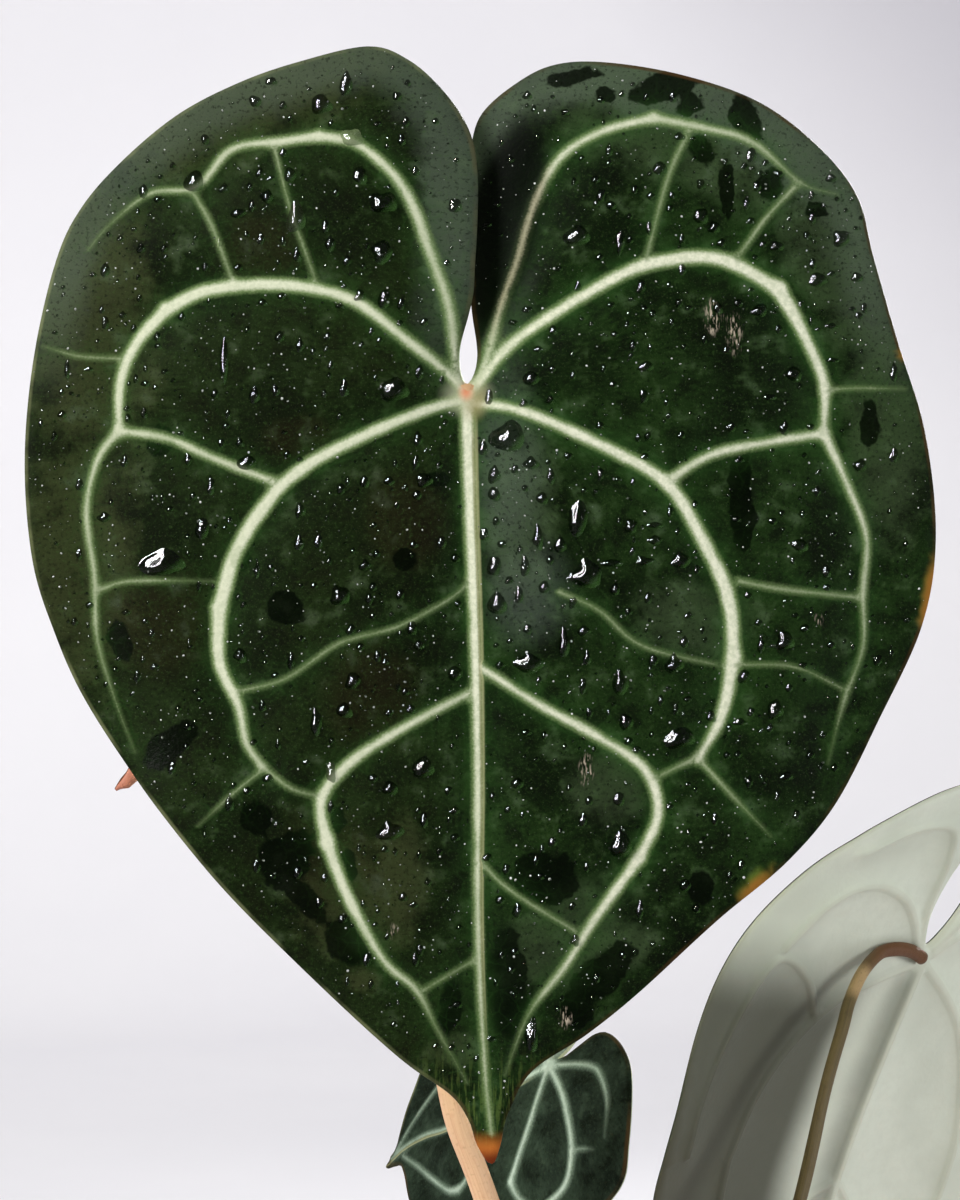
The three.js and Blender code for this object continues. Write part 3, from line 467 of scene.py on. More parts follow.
# rank, width at the start and end, then the points of the centre line
LARGE_VEINS = [
    [0, 2.6, 1.0, [[0, 0], [0.5, -20], [1.5, -46], [2, -72], [2, -94.5], [2.5, -111.5], [3.5, -128],
                   [4.5, -138]]],
    [1, 1.5, 1.9, [[-1, 1.5], [-6, 14.5], [-9.5, 26], [-12, 34.5], [-15.5, 41], [-21.5, 46.5], [-28, 48]]],
    [1, 1.9, 0.8, [[-28, 48], [-34.5, 47], [-44, 45.5], [-50.5, 38.5], [-59, 37.5], [-66.5, 32], [-71, 27]]],
    [1, 1.7, 2.5, [[-1, 1], [-5, 4.5], [-12.5, 10], [-21, 16.5], [-28, 19], [-37, 20], [-48.5, 19],
                   [-56, 15.5]]],
    [1, 2.5, 1.7, [[-56, 15.5], [-61.5, 9.5], [-64.5, 2.5], [-65, -7]]],
    [1, 1.9, 2.8, [[-1, -1.5], [-8, -3.5], [-21, -9], [-31, -14.5], [-37.5, -21], [-43, -30], [-46, -40]]],
    [1, 2.8, 1.3, [[-46, -40], [-46, -50], [-42.5, -58], [-41, -65], [-38, -69.5]]],
    [1, 1.6, 1.6, [[-36, -16.5], [-47.5, -12], [-55.5, -8.5], [-65, -7]]],
    [1, 1.6, 0.7, [[-65, -7], [-69, -12.5], [-71, -22], [-69.5, -34], [-69, -46], [-65.5, -58], [-62, -67]]],
    [1, 1.5, 2.4, [[0, -56], [-10.5, -61.5], [-21.5, -68.5], [-27, -75.5], [-26, -83.5]]],
    [1, 2.4, 0.6, [[-26, -83.5], [-22, -94], [-15.5, -105.5], [-9.5, -111], [-5.5, -118.5], [0, -128.5]]],
    [1, 1.3, 1.8, [[1.5, 1.5], [6.8, 11.5], [10.8, 22.5], [14.2, 35.5], [18.6, 44.2], [26, 49], [35, 51.5]]],
    [1, 1.8, 0.8, [[35, 51.5], [45, 49.5], [53.5, 47], [62.5, 39.5], [69.5, 37.5]]],
    [1, 1.7, 2.8, [[1.5, 1], [8, 8], [17, 14.5], [26.5, 20.5], [34.5, 24], [46.5, 25], [58, 19.5]]],
    [1, 2.8, 1.7, [[58, 19.5], [62.5, 11.5], [66.5, 2], [66.5, -7]]],
    [1, 1.9, 2.8, [[1.5, -2], [10, -3.5], [23, -9], [36.5, -16.5], [43.5, -27], [48.5, -38], [49.5, -49]]],
    [1, 2.8, 1.6, [[49.5, -49], [47.5, -59.5], [43, -68]]],
    [1, 1.7, 1.8, [[37, -16.5], [45.5, -11.5], [57, -9], [66.5, -7.5]]],
    [1, 1.9, 1.2, [[66.5, -7.5], [70.5, -16], [74.5, -26.5], [74, -37]]],
    [1, 1.1, 0.5, [[74, -38], [74, -47.5], [70.5, -57.5], [67.5, -69]]],
    [1, 1.6, 2.2, [[2.5, -51], [13.5, -58], [24.5, -64], [33, -70], [35.5, -78], [32, -86.5]]],
    [1, 2.2, 0.8, [[32, -86.5], [24, -97.5], [18, -107], [11.5, -115.5], [7, -127]]],
    [2, 0.9, 0.7, [[-51.5, 38], [-47.5, 31], [-43.5, 20.5]]],
    [2, 0.7, 0.6, [[-36, 45.5], [-33, 34], [-28, 19.5]]],
    [2, 0.7, 0.5, [[-65, 6.5], [-72.5, 7], [-79.5, 9]]],
    [2, 0.8, 0.7, [[-68.5, -36.5], [-62.5, -35], [-47.5, -35]]],
    [2, 0.7, 0.8, [[0.5, -35], [-3.5, -38.5], [-13, -43.5], [-23.5, -46.5], [-33.5, -53], [-42.5, -55.5]]],
    [2, 1.0, 0.7, [[-38, -69.5], [-32.5, -73.5], [-27, -75]]],
    [2, 0.8, 0.5, [[-38, -70], [-43.5, -74.5], [-50, -80.5]]],
    [2, 0.7, 0.7, [[-8, -111], [-3, -108], [1.5, -105.5]]],
    [2, 0.9, 0.8, [[41.5, 49], [37.5, 40], [33.5, 25]]],
    [2, 0.9, 0.9, [[62, 39.5], [56, 33], [50.5, 25.5]]],
    [2, 0.7, 0.5, [[66.5, 0.5], [72, 1], [82, 1]]],
    [2, 0.9, 0.9, [[50.5, -35], [58.5, -36.5], [73, -38]]],
    [2, 0.6, 0.5, [[50.5, -50.5], [61, -51], [71, -55.5]]],
    [2, 0.8, 0.5, [[17, -37], [24.5, -40.5], [32.5, -47], [48.5, -51]]],
    [2, 1.0, 0.8, [[42.5, -68], [39, -69.5], [35, -71.5]]],
    [2, 1.0, 0.6, [[43, -68], [48.5, -74], [56.5, -82.5]]],
    [2, 0.8, 0.7, [[2.5, -87], [7.5, -92], [20, -100]]],
]
print("the large leaf has", len(LARGE_VEINS), "veins")


# %% The low leaf's drawing: rounder, with a short drip tip
LOW_OUTLINE = [
    [-1, 1.5], [-2.4, 5], [-4.2, 10], [-6, 14.5], [-9.5, 18.5], [-16, 20.5], [-25, 19.5], [-33, 14],
    [-37, 4], [-36.5, -8], [-31.5, -20], [-23.5, -30], [-15.2, -37.3], [-9.8, -42.9], [-6, -46.3],
    [-3.4, -48.6], [-2.2, -50.8], [-1, -53.2], [-0.3, -50.6], [0.9, -48], [3, -46.6], [6, -45.5],
    [11.2, -44.3], [18.5, -42], [26.5, -37], [33.5, -28], [38, -16], [39.5, -4], [38.6, 6],
    [35.8, 13.6], [32.2, 17.4], [25.8, 18.9], [18.5, 20.3], [9.8, 21], [4.1, 19.6], [-0.4, 16.5],
    [-1.6, 13.5], [-1, 9], [-0.4, 4.5],
]
LOW_VEINS = [
    [0, 1.7, 0.8, [[0, 0], [0.2, -6], [0.8, -14], [0.8, -29.2], [-1, -37.4], [-1.8, -44.6], [-1.5, -50.5]]],
    [1, 1.4, 1.6, [[0, 0], [4, -1.4], [7.8, -3.3], [12.7, -6.4], [17.2, -9.5], [21.4, -12.2]]],
    [1, 1.5, 0.9, [[21.4, -12.2], [24.1, -11.3], [27, -9.5], [31, -5]]],
    [1, 1.4, 1.6, [[0.3, 0.6], [3.7, 2.3], [7.9, 3.9], [13.8, 4.9], [21.5, 5], [28.2, 2.3], [31, -5]]],
    [1, 1.6, 0.8, [[31, -5], [31.5, -14], [28, -23], [23, -30]]],
    [1, 1.3, 1.0, [[0.3, 1.1], [1.6, 4.5], [3.4, 8.7], [5.1, 11.7], [7.6, 13.7], [14.3, 15], [22, 13.5]]],
    [1, 1.2, 1.3, [[0.8, -17], [6, -19.5], [12, -22.5], [15.6, -25.8], [16.2, -28]]],
    [1, 1.3, 0.6, [[16.2, -28], [15.5, -30.5], [13.4, -33], [9.5, -36.8], [4.6, -41.3], [-0.3, -46.5]]],
    [1, 1.4, 1.5, [[0, 0], [-4, -1.4], [-8, -3.4], [-13, -7], [-18, -11], [-22, -14.5], [-24, -18]]],
    [1, 1.4, 0.8, [[-24, -18], [-23, -24], [-19, -29]]],
    [1, 1.4, 1.4, [[-0.3, 0.6], [-4, 2.3], [-9, 4.5], [-15, 6], [-21, 6], [-26, 3.5], [-29, -2], [-30, -9]]],
    [1, 1.3, 0.8, [[-0.3, 1.1], [-2.5, 4.5], [-5.5, 9], [-9, 13], [-14, 14.8], [-20, 14], [-25, 11]]],
    [1, 1.1, 0.6, [[0.8, -17], [-5, -20.5], [-9, -25], [-10, -30], [-8.5, -35], [-5.5, -42], [-2.3, -48.5]]],
    [2, 0.8, 0.6, [[21.5, 5], [22.4, 7.8], [23.7, 10.6]]],
]
print("the low leaf has", len(LOW_VEINS), "veins")


# %% The other leaves' heart shape, for a leaf one unit long from junction to tip
HEART_HALF = [
    [0.000, 0.030], [0.038, 0.100], [0.050, 0.200], [0.045, 0.300], [0.060, 0.385], [0.110, 0.440],
    [0.180, 0.455], [0.300, 0.410], [0.420, 0.330], [0.510, 0.235], [0.560, 0.110], [0.585, -0.050],
    [0.575, -0.200], [0.530, -0.330], [0.460, -0.460], [0.370, -0.590], [0.270, -0.710], [0.160, -0.815],
    [0.070, -0.885], [0.028, -0.925], [0.015, -0.965], [0.000, -1.000],
]
HEART_VEINS = [
    [1, 0.010, 0.006, [[0.02, 0.02], [0.07, 0.12], [0.11, 0.24], [0.18, 0.325], [0.27, 0.32], [0.35, 0.29],
                       [0.44, 0.22]]],
    [1, 0.011, 0.012, [[0.02, 0.01], [0.09, 0.08], [0.17, 0.13], [0.27, 0.15], [0.36, 0.13], [0.42, 0.07],
                       [0.46, -0.03]]],
    [1, 0.012, 0.010, [[0.02, -0.01], [0.12, -0.05], [0.21, -0.10], [0.28, -0.18], [0.32, -0.28],
                       [0.32, -0.38]]],
    [1, 0.010, 0.006, [[0.32, -0.38], [0.29, -0.46], [0.24, -0.53], [0.19, -0.56]]],
    [1, 0.009, 0.005, [[0.25, -0.13], [0.34, -0.07], [0.46, -0.05], [0.49, -0.16], [0.49, -0.28],
                       [0.45, -0.38]]],
    [1, 0.009, 0.004, [[0.01, -0.39], [0.09, -0.44], [0.18, -0.51], [0.20, -0.59], [0.16, -0.70], [0.10, -0.81],
                       [0.03, -0.90]]],
]


def heart_drawing(length, width, lobe, shoulder):
    """Margin and veins of the shape at a size. shoulder says how much narrower it is near the top."""
    def place(point, side):
        x, y = point
        narrowing = 1 - shoulder * min(max((y + 0.6) / 0.9, 0), 1)
        return [x * length * width * narrowing * side, y * length * (lobe if y > 0 else 1)]

    left = [place(point, -1) for point in HEART_HALF][:-1]
    right = [place(point, 1) for point in HEART_HALF][::-1][:-1]
    veins = [[0, 0.016 * length, 0.007 * length, [place((0, y), 1) for y in (0, -0.3, -0.6, -0.96)]]]
    for rank, start, end, points in HEART_VEINS:
        for side in (-1, 1):
            veins.append([rank, start * length, end * length, [place(point, side) for point in points]])
    return left + right, veins


print("the heart shape has", len(HEART_VEINS), "veins on each side")

# %% [markdown]
# ## Where each leaf hangs and how it bends
# These are the CAD part's own numbers: where the blade meets its petiole, which way it hangs and faces, how
# far it droops across and along, and the path of its petiole. Only two things differ from the CAD. The right
# leaf's stalk is thinner, and the vein beside the large leaf's sinus lies where the photograph has it.

# %% Leaves
LEAVES = {
    "large": dict(
        drawing=(LARGE_OUTLINE, LARGE_VEINS), length=143.5, seed=11, junction=(-36.7, -46, 362.7),
        tip=(0, 0, -1), face=(0, -1, 0), across=0.00135, lobes=0.0020, hang=0.0003, trough=2.0, wave=1.5,
        waves=7, close=4.7, lap_front=1.0, lap_back=6.0, fill=1.75, stalk=1.0,
        petiole=[(0, 0, 108), (-6.5, -6, 119), (-17, -11, 160), (-33.3, -18, 209), (-40, -22, 230),
                 (-43.5, -26, 265), (-42.5, -29, 310), (-39, -32, 342), (-37, -36, 357), (-36.7, -41, 361.5),
                 (-36.7, -46, 361.5)]),
    "low": dict(
        drawing=(LOW_OUTLINE, LOW_VEINS), length=51, seed=23, junction=(-20.8, 22, 228.9),
        tip=(-0.719, 0.526, -0.455), face=(-0.691, -0.616, 0.38), across=0, lobes=0.0039, hang=0.0025,
        trough=1.0, wave=0.35, waves=5, fill=1.3, stalk=0.72,
        petiole=[(0, 0, 102), (2, 7, 113), (-1, 20, 150), (-8, 32, 190), (-12, 34.5, 212), (-14, 33, 222),
                 (-17.3, 28.5, 228.2), (-20.8, 22, 228.9)]),
    "right": dict(
        drawing=heart_drawing(135, 0.88, 0.7, 0.3), length=135, seed=37, junction=(61.7, 66, 246.5),
        tip=(-0.42, 0.17, -0.89), face=(-0.55, 0.73, 0.40), across=0.0013, lobes=0.004, hang=0.0018,
        trough=1.6, wave=1.6, waves=6, fill=2.2, stalk=0.58,
        petiole=[(0, 0, 106), (6, 2.5, 118), (14, 10, 146), (22, 18, 172), (31.6, 27, 200.6), (37.5, 34, 222.3),
                 (41.6, 40, 234), (43.7, 44, 239.9), (47.5, 50, 245.8), (52.5, 56, 249.3), (57.4, 61, 249.2),
                 (61.7, 66, 246.5)]),
    "young": dict(
        drawing=heart_drawing(62, 0.85, 0.9, 0), length=62, seed=51, junction=(-60.5, 23, 324.9),
        tip=(-0.80, -0.05, -0.59), face=(-0.72, 0.6, 0.35), across=0.006, lobes=0.004, hang=0.0012,
        trough=1.8, wave=1.1, waves=5, fill=1.5, stalk=0.7,
        petiole=[(0, 0, 118), (-5.5, 5, 129), (-17, 27, 170), (-27, 44, 215), (-34, 57, 245), (-43, 52, 276),
                 (-51, 38, 302), (-55.9, 27, 317.8), (-57.4, 22.5, 323.3), (-60.5, 23, 324.9)]),
}
THICKNESS = 0.9
# Height of the vein ridge above, of the rib below, and the flank beside the vein, by rank
VEIN_RANKS = [(0.55, 1.4, 1.1), (0.45, 1.0, 1.0), (0.25, 0.45, 0.9)]
# How far the pale webs reach into the forks between veins
WEB = 0.4
print("petioles:", {key: len(leaf["petiole"]) for key, leaf in LEAVES.items()}, "points")


# %% [markdown]
# ## The form of a blade
# A blade is one leathery sheet. It droops across its width, dips along the midrib, waves near its margin and
# stands up between the veins, and each vein is a ridge above and a stronger rib below. All of that is one
# function of a place on the flat leaf, so the mesh, the drops of water and the markings can all ask it.

# %% Blade form
# A vein fades toward its end if it ends farther than this from every other
FREE_END = 2.5
# A vein at least this wide shows at full strength
FULL_VEIN = 2.2
# Reach of the waves from the margin, and of the trough from the midrib as a share of the leaf's length
WAVE_REACH, TROUGH_SHARE = 10, 0.09
# Between veins the sheet stands up by PUCKER, and beside each it dips by GROOVE, over their reaches
PUCKER, PUCKER_REACH, GROOVE, GROOVE_REACH = 0.8, 7, 0.5, 4


def nearest_on(spots, line):
    """Distance from each spot to a line of points, and how far along the line its nearest place lies."""
    best = np.full(len(spots), 1e9)
    share = np.zeros(len(spots))
    for i, (a, b) in enumerate(zip(line[:-1], line[1:])):
        run = b - a
        t = np.clip(((spots - a) @ run) / max(run @ run, 1e-12), 0, 1)
        gap = spots - a - t[:, None] * run
        distance = np.hypot(gap[:, 0], gap[:, 1])
        closer = distance < best
        best[closer] = distance[closer]
        share[closer] = (i + t[closer]) / (len(line) - 1)
    return best, share


class Blade:
    """One leaf's sheet, asked by places on the flat leaf."""

    def __init__(self, leaf):
        self.leaf = leaf
        outline, veins = leaf["drawing"]
        self.margin = smooth_line(outline, 1.0, closed=True)
        self.nerves = [(rank, start, end, smooth_line(points, 1.2)) for rank, start, end, points in veins]
        self.phase = next(draws(leaf["seed"])) * math.pi * 2
        lines = [line for _, _, _, line in self.nerves]
        self.free = [min(nearest_on(line[-1:], other)[0][0] for other in lines if other is not line) > FREE_END
                     for line in lines]
        up = -np.array(leaf["tip"], float)
        up /= np.linalg.norm(up)
        across = np.cross(up, leaf["face"])
        across /= np.linalg.norm(across)
        self.basis = np.stack([across, up, np.cross(across, up)])

    def inside(self, spots):
        """Which spots the margin encloses."""
        odd = np.zeros(len(spots), bool)
        for (x0, y0), (x1, y1) in zip(self.margin, np.roll(self.margin, -1, axis=0)):
            crosses = (y0 > spots[:, 1]) != (y1 > spots[:, 1])
            odd ^= crosses & (spots[:, 0] < (x1 - x0) * (spots[:, 1] - y0) / (y1 - y0 + 1e-12) + x0)
        return odd

    def edge(self, spots):
        return nearest_on(spots, np.concatenate([self.margin, self.margin[:1]]))[0]

    def read(self, spots):
        """Everything known about places on the flat leaf."""
        ridge, rib = np.zeros(len(spots)), np.zeros(len(spots))
        nearest = np.full(len(spots), 1e9)
        beside, half_width, strength = np.full(len(spots), 1e9), np.ones(len(spots)), np.zeros(len(spots))
        webbed = np.zeros(len(spots))
        for free, (rank, start, end, line) in zip(self.free, self.nerves):
            distance, share = nearest_on(spots, line)
            half = (start + (end - start) * share) / 2
            up, down, flank = VEIN_RANKS[rank]
            slope = 1 - rise(half * 0.3, half + flank, distance)
            ridge, rib = np.maximum(ridge, up * slope), np.maximum(rib, down * slope)
            if rank < 2:
                nearest = np.minimum(nearest, distance)
            fade = 1 - 0.85 * rise(0.55, 1.0, share) * (free and rank > 0)
            from_side = distance - half * fade
            webbed += np.exp(-np.minimum(from_side, 30) / WEB)
            closer = from_side < beside
            beside = np.where(closer, from_side, beside)
            half_width = np.where(closer, half, half_width)
            strength = np.where(closer, np.clip(half * 2 / FULL_VEIN, 0, 1) * fade, strength)
        leaf, x, y = self.leaf, spots[:, 0], spots[:, 1]
        midrib = self.nerves[0][3][::-1]
        from_midrib = x - np.interp(y, midrib[:, 1], midrib[:, 0])
        edge = self.edge(spots)
        upper = rise(2, 20, y) * np.exp(-np.maximum(0, abs(x) - 3.5) / 10)
        angle = np.arctan2(x, -(y + leaf["length"] * 0.3))
        lift = (-leaf["across"] * x * x - np.where(y > 0, leaf["lobes"], leaf["hang"]) * y * y
                + leaf["trough"] * (1 - np.exp(-abs(x) / (leaf["length"] * TROUGH_SHARE)))
                + leaf["wave"] * np.exp(-edge / WAVE_REACH) * np.sin(angle * leaf["waves"] + self.phase)
                + PUCKER * (1 - np.exp(-(nearest / PUCKER_REACH) ** 2))
                - GROOVE * np.exp(-(nearest / GROOVE_REACH) ** 2)
                + np.where(x < 0, leaf.get("lap_front", 0), -leaf.get("lap_back", 0)) * upper)
        moved = x - np.sign(x) * leaf.get("close", 0) * upper
        return dict(x=moved, y=y, lift=lift, ridge=ridge, rib=rib, edge=edge, beside=-WEB * np.log(webbed),
                    half=half_width, strength=strength, from_midrib=from_midrib)

    def stand(self, x, y, z):
        """Places on the plant for places in the leaf's own x, y and lift."""
        return np.array(self.leaf["junction"]) + np.stack([x, y, z], 1) @ self.basis

    def upper(self, spots, above=0.0):
        """Places on the plant a little above the upper face."""
        known = self.read(spots)
        return self.stand(known["x"], known["y"], known["lift"] + known["ridge"] + above)


blades = {name: Blade(leaf) for name, leaf in LEAVES.items()}
print({name: len(blade.margin) for name, blade in blades.items()}, "margin points")


# %% [markdown]
# ## The mesh of a blade
# An even grid would cut across the veins in steps, so the flat leaf is filled in three goes: points round
# the margin, rows of points along each vein at its crest, sides and flanks, and then an even fill between.
# Delaunay triangles join them. The underside takes the same triangles turned over, and a row halfway round
# the margin stands out a little, so the sheet has a soft edge and not a cut one.

# %% Flat points and triangles
# How far points keep from others: on a vein's crest, beside it, and in the fill as a share of its step
CREST_SPACE, SIDE_SPACE, FILL_SPACE = 0.6, 0.42, 0.62
# How far points of veins and of the fill keep from the margin, and how far chance moves the fill's
VEIN_MARGIN, FILL_MARGIN, SHAKE = 0.45, 0.6, 0.3


def flat_points(blade):
    """Points of the flat leaf: its margin first, then along the veins, then between them."""
    leaf, kept, cells = blade.leaf, [tuple(p) for p in blade.margin], {}

    def crowded(x, y, space):
        column, row = math.floor(x), math.floor(y)
        reach = math.ceil(space)
        return any(math.hypot(px - x, py - y) < space
                   for i in range(column - reach, column + reach + 1)
                   for j in range(row - reach, row + reach + 1)
                   for px, py in cells.get((i, j), ()))

    def keep(x, y):
        cells.setdefault((math.floor(x), math.floor(y)), []).append((x, y))

    for x, y in kept:
        keep(x, y)

    def add(spots, space, from_edge):
        spots = np.asarray(spots)
        spots = spots[blade.inside(spots)]
        spots = spots[blade.edge(spots) > from_edge]
        for x, y in spots.tolist():
            if not crowded(x, y, space):
                keep(x, y)
                kept.append((x, y))

    for row in (0, 1, 2, 3):
        for rank, start, end, line in blade.nerves:
            run = np.gradient(line, axis=0)
            run /= np.linalg.norm(run, axis=1)[:, None]
            beside = np.stack([-run[:, 1], run[:, 0]], 1)
            half = np.linspace(start, end, len(line)) / 2
            out = (0 * half, half, half + VEIN_RANKS[rank][2] * 0.45, half + VEIN_RANKS[rank][2])[row]
            for side in ((1,) if row == 0 else (-1, 1)):
                add(line + beside * (out * side)[:, None], SIDE_SPACE if row else CREST_SPACE, VEIN_MARGIN)
    fill = leaf["fill"]
    low, high = blade.margin.min(0), blade.margin.max(0)
    grid = [(low[0] + (i + (j % 2) / 2) * fill, low[1] + j * fill * math.sqrt(0.75))
            for j in range(int((high[1] - low[1]) / fill / math.sqrt(0.75)) + 1)
            for i in range(int((high[0] - low[0]) / fill) + 1)]
    shake = draws(leaf["seed"] + 1)
    grid = [(x + (next(shake) - 0.5) * SHAKE, y + (next(shake) - 0.5) * SHAKE) for x, y in grid]
    add(grid, fill * FILL_SPACE, FILL_MARGIN)
    return np.array(kept)


def flat_triangles(blade, points):
    rim = len(blade.margin)
    edges = [(i, (i + 1) % rim) for i in range(rim)]
    made, _, faces, _, _, _ = delaunay_2d_cdt([Vector(p) for p in points], edges, [], 1, 1e-6)
    flat = np.array([tuple(v) for v in made])
    triangles = []
    for a, b, c in faces:
        (ax, ay), (bx, by), (cx, cy) = flat[a], flat[b], flat[c]
        turn = (bx - ax) * (cy - ay) - (by - ay) * (cx - ax)
        triangles.append((a, b, c) if turn > 0 else (a, c, b))
    return flat, triangles


# %% Two faces and a rim
RIM_SWELL = 0.22
# How far from the margin and from a vein water settles
DRY_MARGIN, DRY_VEIN = 1.2, 0.4


def build_blade(key, finishes, slot, marks=()):
    blade = blades[key]
    flat, triangles = flat_triangles(blade, flat_points(blade))
    known, count = blade.read(flat), len(flat)
    top = blade.stand(known["x"], known["y"], known["lift"] + known["ridge"])
    under = blade.stand(known["x"], known["y"], known["lift"] - THICKNESS - known["rib"])
    used = {(a, b) for t in triangles for a, b in (t[0:2], t[1:3], (t[2], t[0]))}
    rim = [(a, b) for a, b in used if (b, a) not in used]
    number = {a: 2 * count + i for i, (a, b) in enumerate(rim)}
    ends = [a for a, b in rim]
    middle = []
    for a, b in rim:
        out = np.cross(top[b] - top[a], blade.basis[2])
        out /= np.linalg.norm(out) + 1e-12
        middle.append((top[a] + under[a]) / 2 + out * RIM_SWELL)
    faces = triangles + [(a + count, c + count, b + count) for a, b, c in triangles]
    side = [0] * len(triangles) + [1] * len(triangles)
    for a, b in rim:
        faces += [(a, number[a], number[b], b), (number[a], a + count, b + count, number[b])]
        side += [0, 1]

    def spread(values):
        """Values of the flat points for the top, the underside and the rim."""
        return np.concatenate([values, values, values[ends]])

    attributes = {"flat": spread(np.c_[flat, np.zeros(count)]), "vein": spread(known["beside"]),
                  "half": spread(known["half"]), "strength": spread(known["strength"]),
                  "edge": spread(known["edge"]), "midrib": spread(known["from_midrib"]),
                  "cover": np.zeros(2 * count + len(rim))}
    attributes["edge"][2 * count:] = 0
    attributes["cover"][:count] = (known["edge"] > DRY_MARGIN) & (known["beside"] > DRY_VEIN)
    attributes.update({mark: spread(depth_in(flat, places)) for mark, places in dict(marks).items()})
    return add_piece(f"leaf_{key}", np.concatenate([top, under, middle]), faces, finishes, slot,
                     [f"blade_{key}"], attributes, side)


# %% [markdown]
# ## Velvet upper face
# The upper face of this species looks like dark velvet with pale veins let into it. Up close the dark is not
# one green: it is mottled with brown, grey sheen is painted over it where it catches light, the veins have a
# lit yellow-green seam beside them, and their edges are toothed where the smallest veins leave. The mesh
# carries how far each place is beside a vein, so the shader can draw edges much finer than the faces.

# %% From the photograph to the leaf
def on_leaf(pixels):
    """The places on the flat large leaf that some pixels of the photograph show."""
    blade = blades["large"]
    aim = (np.array(pixels, float) - [PICTURE[0] / 2, PICTURE[1] / 2]) * [MM_PER_PIXEL, -MM_PER_PIXEL]
    spots = (np.array(pixels, float) - JUNCTION_PIXEL) * [MM_PER_PIXEL, -MM_PER_PIXEL]
    # A first guess opens the lobes again, and then each round mends what is still off in the camera's view
    spots[:, 0] += np.where(spots[:, 0] < 1.5, -1, 1) * np.where(spots[:, 1] > 15, blade.leaf["close"], 0)
    for _ in range(8):
        seen = blade.upper(spots) - np.array(camera.location) / MM
        spots = spots + aim - seen[:, [0, 2]] * (CAMERA_DISTANCE / seen[:, 1])[:, None]
    return spots


def ovals(listed):
    """Ovals on the flat leaf from centre, half width, half height in pixels, and lean in degrees."""
    listed = np.array(listed, float)
    return np.c_[on_leaf(listed[:, :2]), listed[:, 2:4] * MM_PER_PIXEL, np.radians(listed[:, 4])]


def depth_in(spots, patches):
    """1 well inside any of the ovals, 0.5 on their edges, 0 well outside."""
    best = np.zeros(len(spots))
    for x, y, wide, tall, lean in patches:
        dx, dy = spots[:, 0] - x, spots[:, 1] - y
        along, up = dx * math.cos(lean) + dy * math.sin(lean), dy * math.cos(lean) - dx * math.sin(lean)
        best = np.maximum(best, np.clip(1.5 - np.hypot(along / wide, up / tall), 0, 1))
    return best


# %% Marks of the large blade
# By pixel of the photograph: x, y, half width, half height, lean in degrees anticlockwise
# The fourth, seventh and eighth lists are painted sheen, and the sixth is painted shadow
MARKS = {
    "wet": [(575, 75, 26, 9, 10), (662, 88, 34, 14, 12), (691, 106, 16, 10, 0), (745, 118, 15, 24, 20),
            (605, 96, 11, 8, 0), (701, 150, 14, 14, 0), (727, 190, 7, 32, 0), (770, 182, 15, 16, -20),
            (742, 500, 12, 58, 0), (257, 817, 18, 17, 0), (286, 856, 32, 26, 20), (348, 938, 20, 30, 25),
            (338, 817, 6, 20, 0), (348, 866, 7, 16, 0), (172, 745, 32, 16, 35), (285, 608, 16, 18, 0),
            (545, 878, 32, 30, -10), (508, 985, 20, 58, 4), (450, 1010, 11, 30, -8), (405, 560, 12, 12, 0),
            (602, 974, 36, 20, 40), (575, 1010, 16, 20, 20), (240, 560, 10, 12, 0), (160, 440, 12, 16, 0),
            (440, 480, 14, 9, 0), (310, 905, 26, 12, -45), (700, 890, 13, 16, 0), (820, 210, 14, 9, 0),
            (120, 640, 12, 22, 20), (870, 420, 10, 24, 0)],
    "scar": [(734, 334, 8, 22, 0), (712, 318, 8, 20, 0), (586, 770, 7, 17, 0), (566, 1018, 6, 12, 0),
             (820, 620, 4, 8, 0), (392, 930, 5, 9, 0)],
    "stain": [(928, 594, 6, 34, -5), (755, 882, 22, 8, 45), (905, 345, 4, 14, -10)],
    "grey_sheen": [(700, 130, 190, 60, -22), (850, 260, 60, 110, 25), (885, 430, 40, 110, 0),
             (250, 95, 150, 50, 25), (95, 330, 60, 150, 0), (80, 560, 55, 120, 0), (520, 510, 34, 92, 0),
             (690, 620, 60, 36, 0), (610, 790, 40, 34, 0), (360, 980, 16, 12, 0), (626, 948, 30, 22, 30),
             (455, 1050, 24, 18, 0), (400, 880, 26, 60, 0), (570, 935, 70, 44, 35), (345, 900, 44, 50, -30)],
    "brown": [(408, 520, 44, 48, 0), (300, 440, 40, 24, 0), (262, 250, 40, 40, 0), (372, 700, 46, 60, 0),
              (160, 620, 50, 60, 0), (330, 860, 44, 60, 30)],
    "lobe_shadow": [(503, 226, 26, 92, -12)],
    "margin_sheen": [(560, 85, 40, 22, 0), (665, 96, 90, 30, -14), (770, 145, 70, 34, -40), (447, 215, 18, 105, 4)],
    "sheen": [(505, 470, 34, 90, 0), (525, 590, 40, 50, 0)],
}
print("marks:", {mark: len(listed) for mark, listed in MARKS.items()})


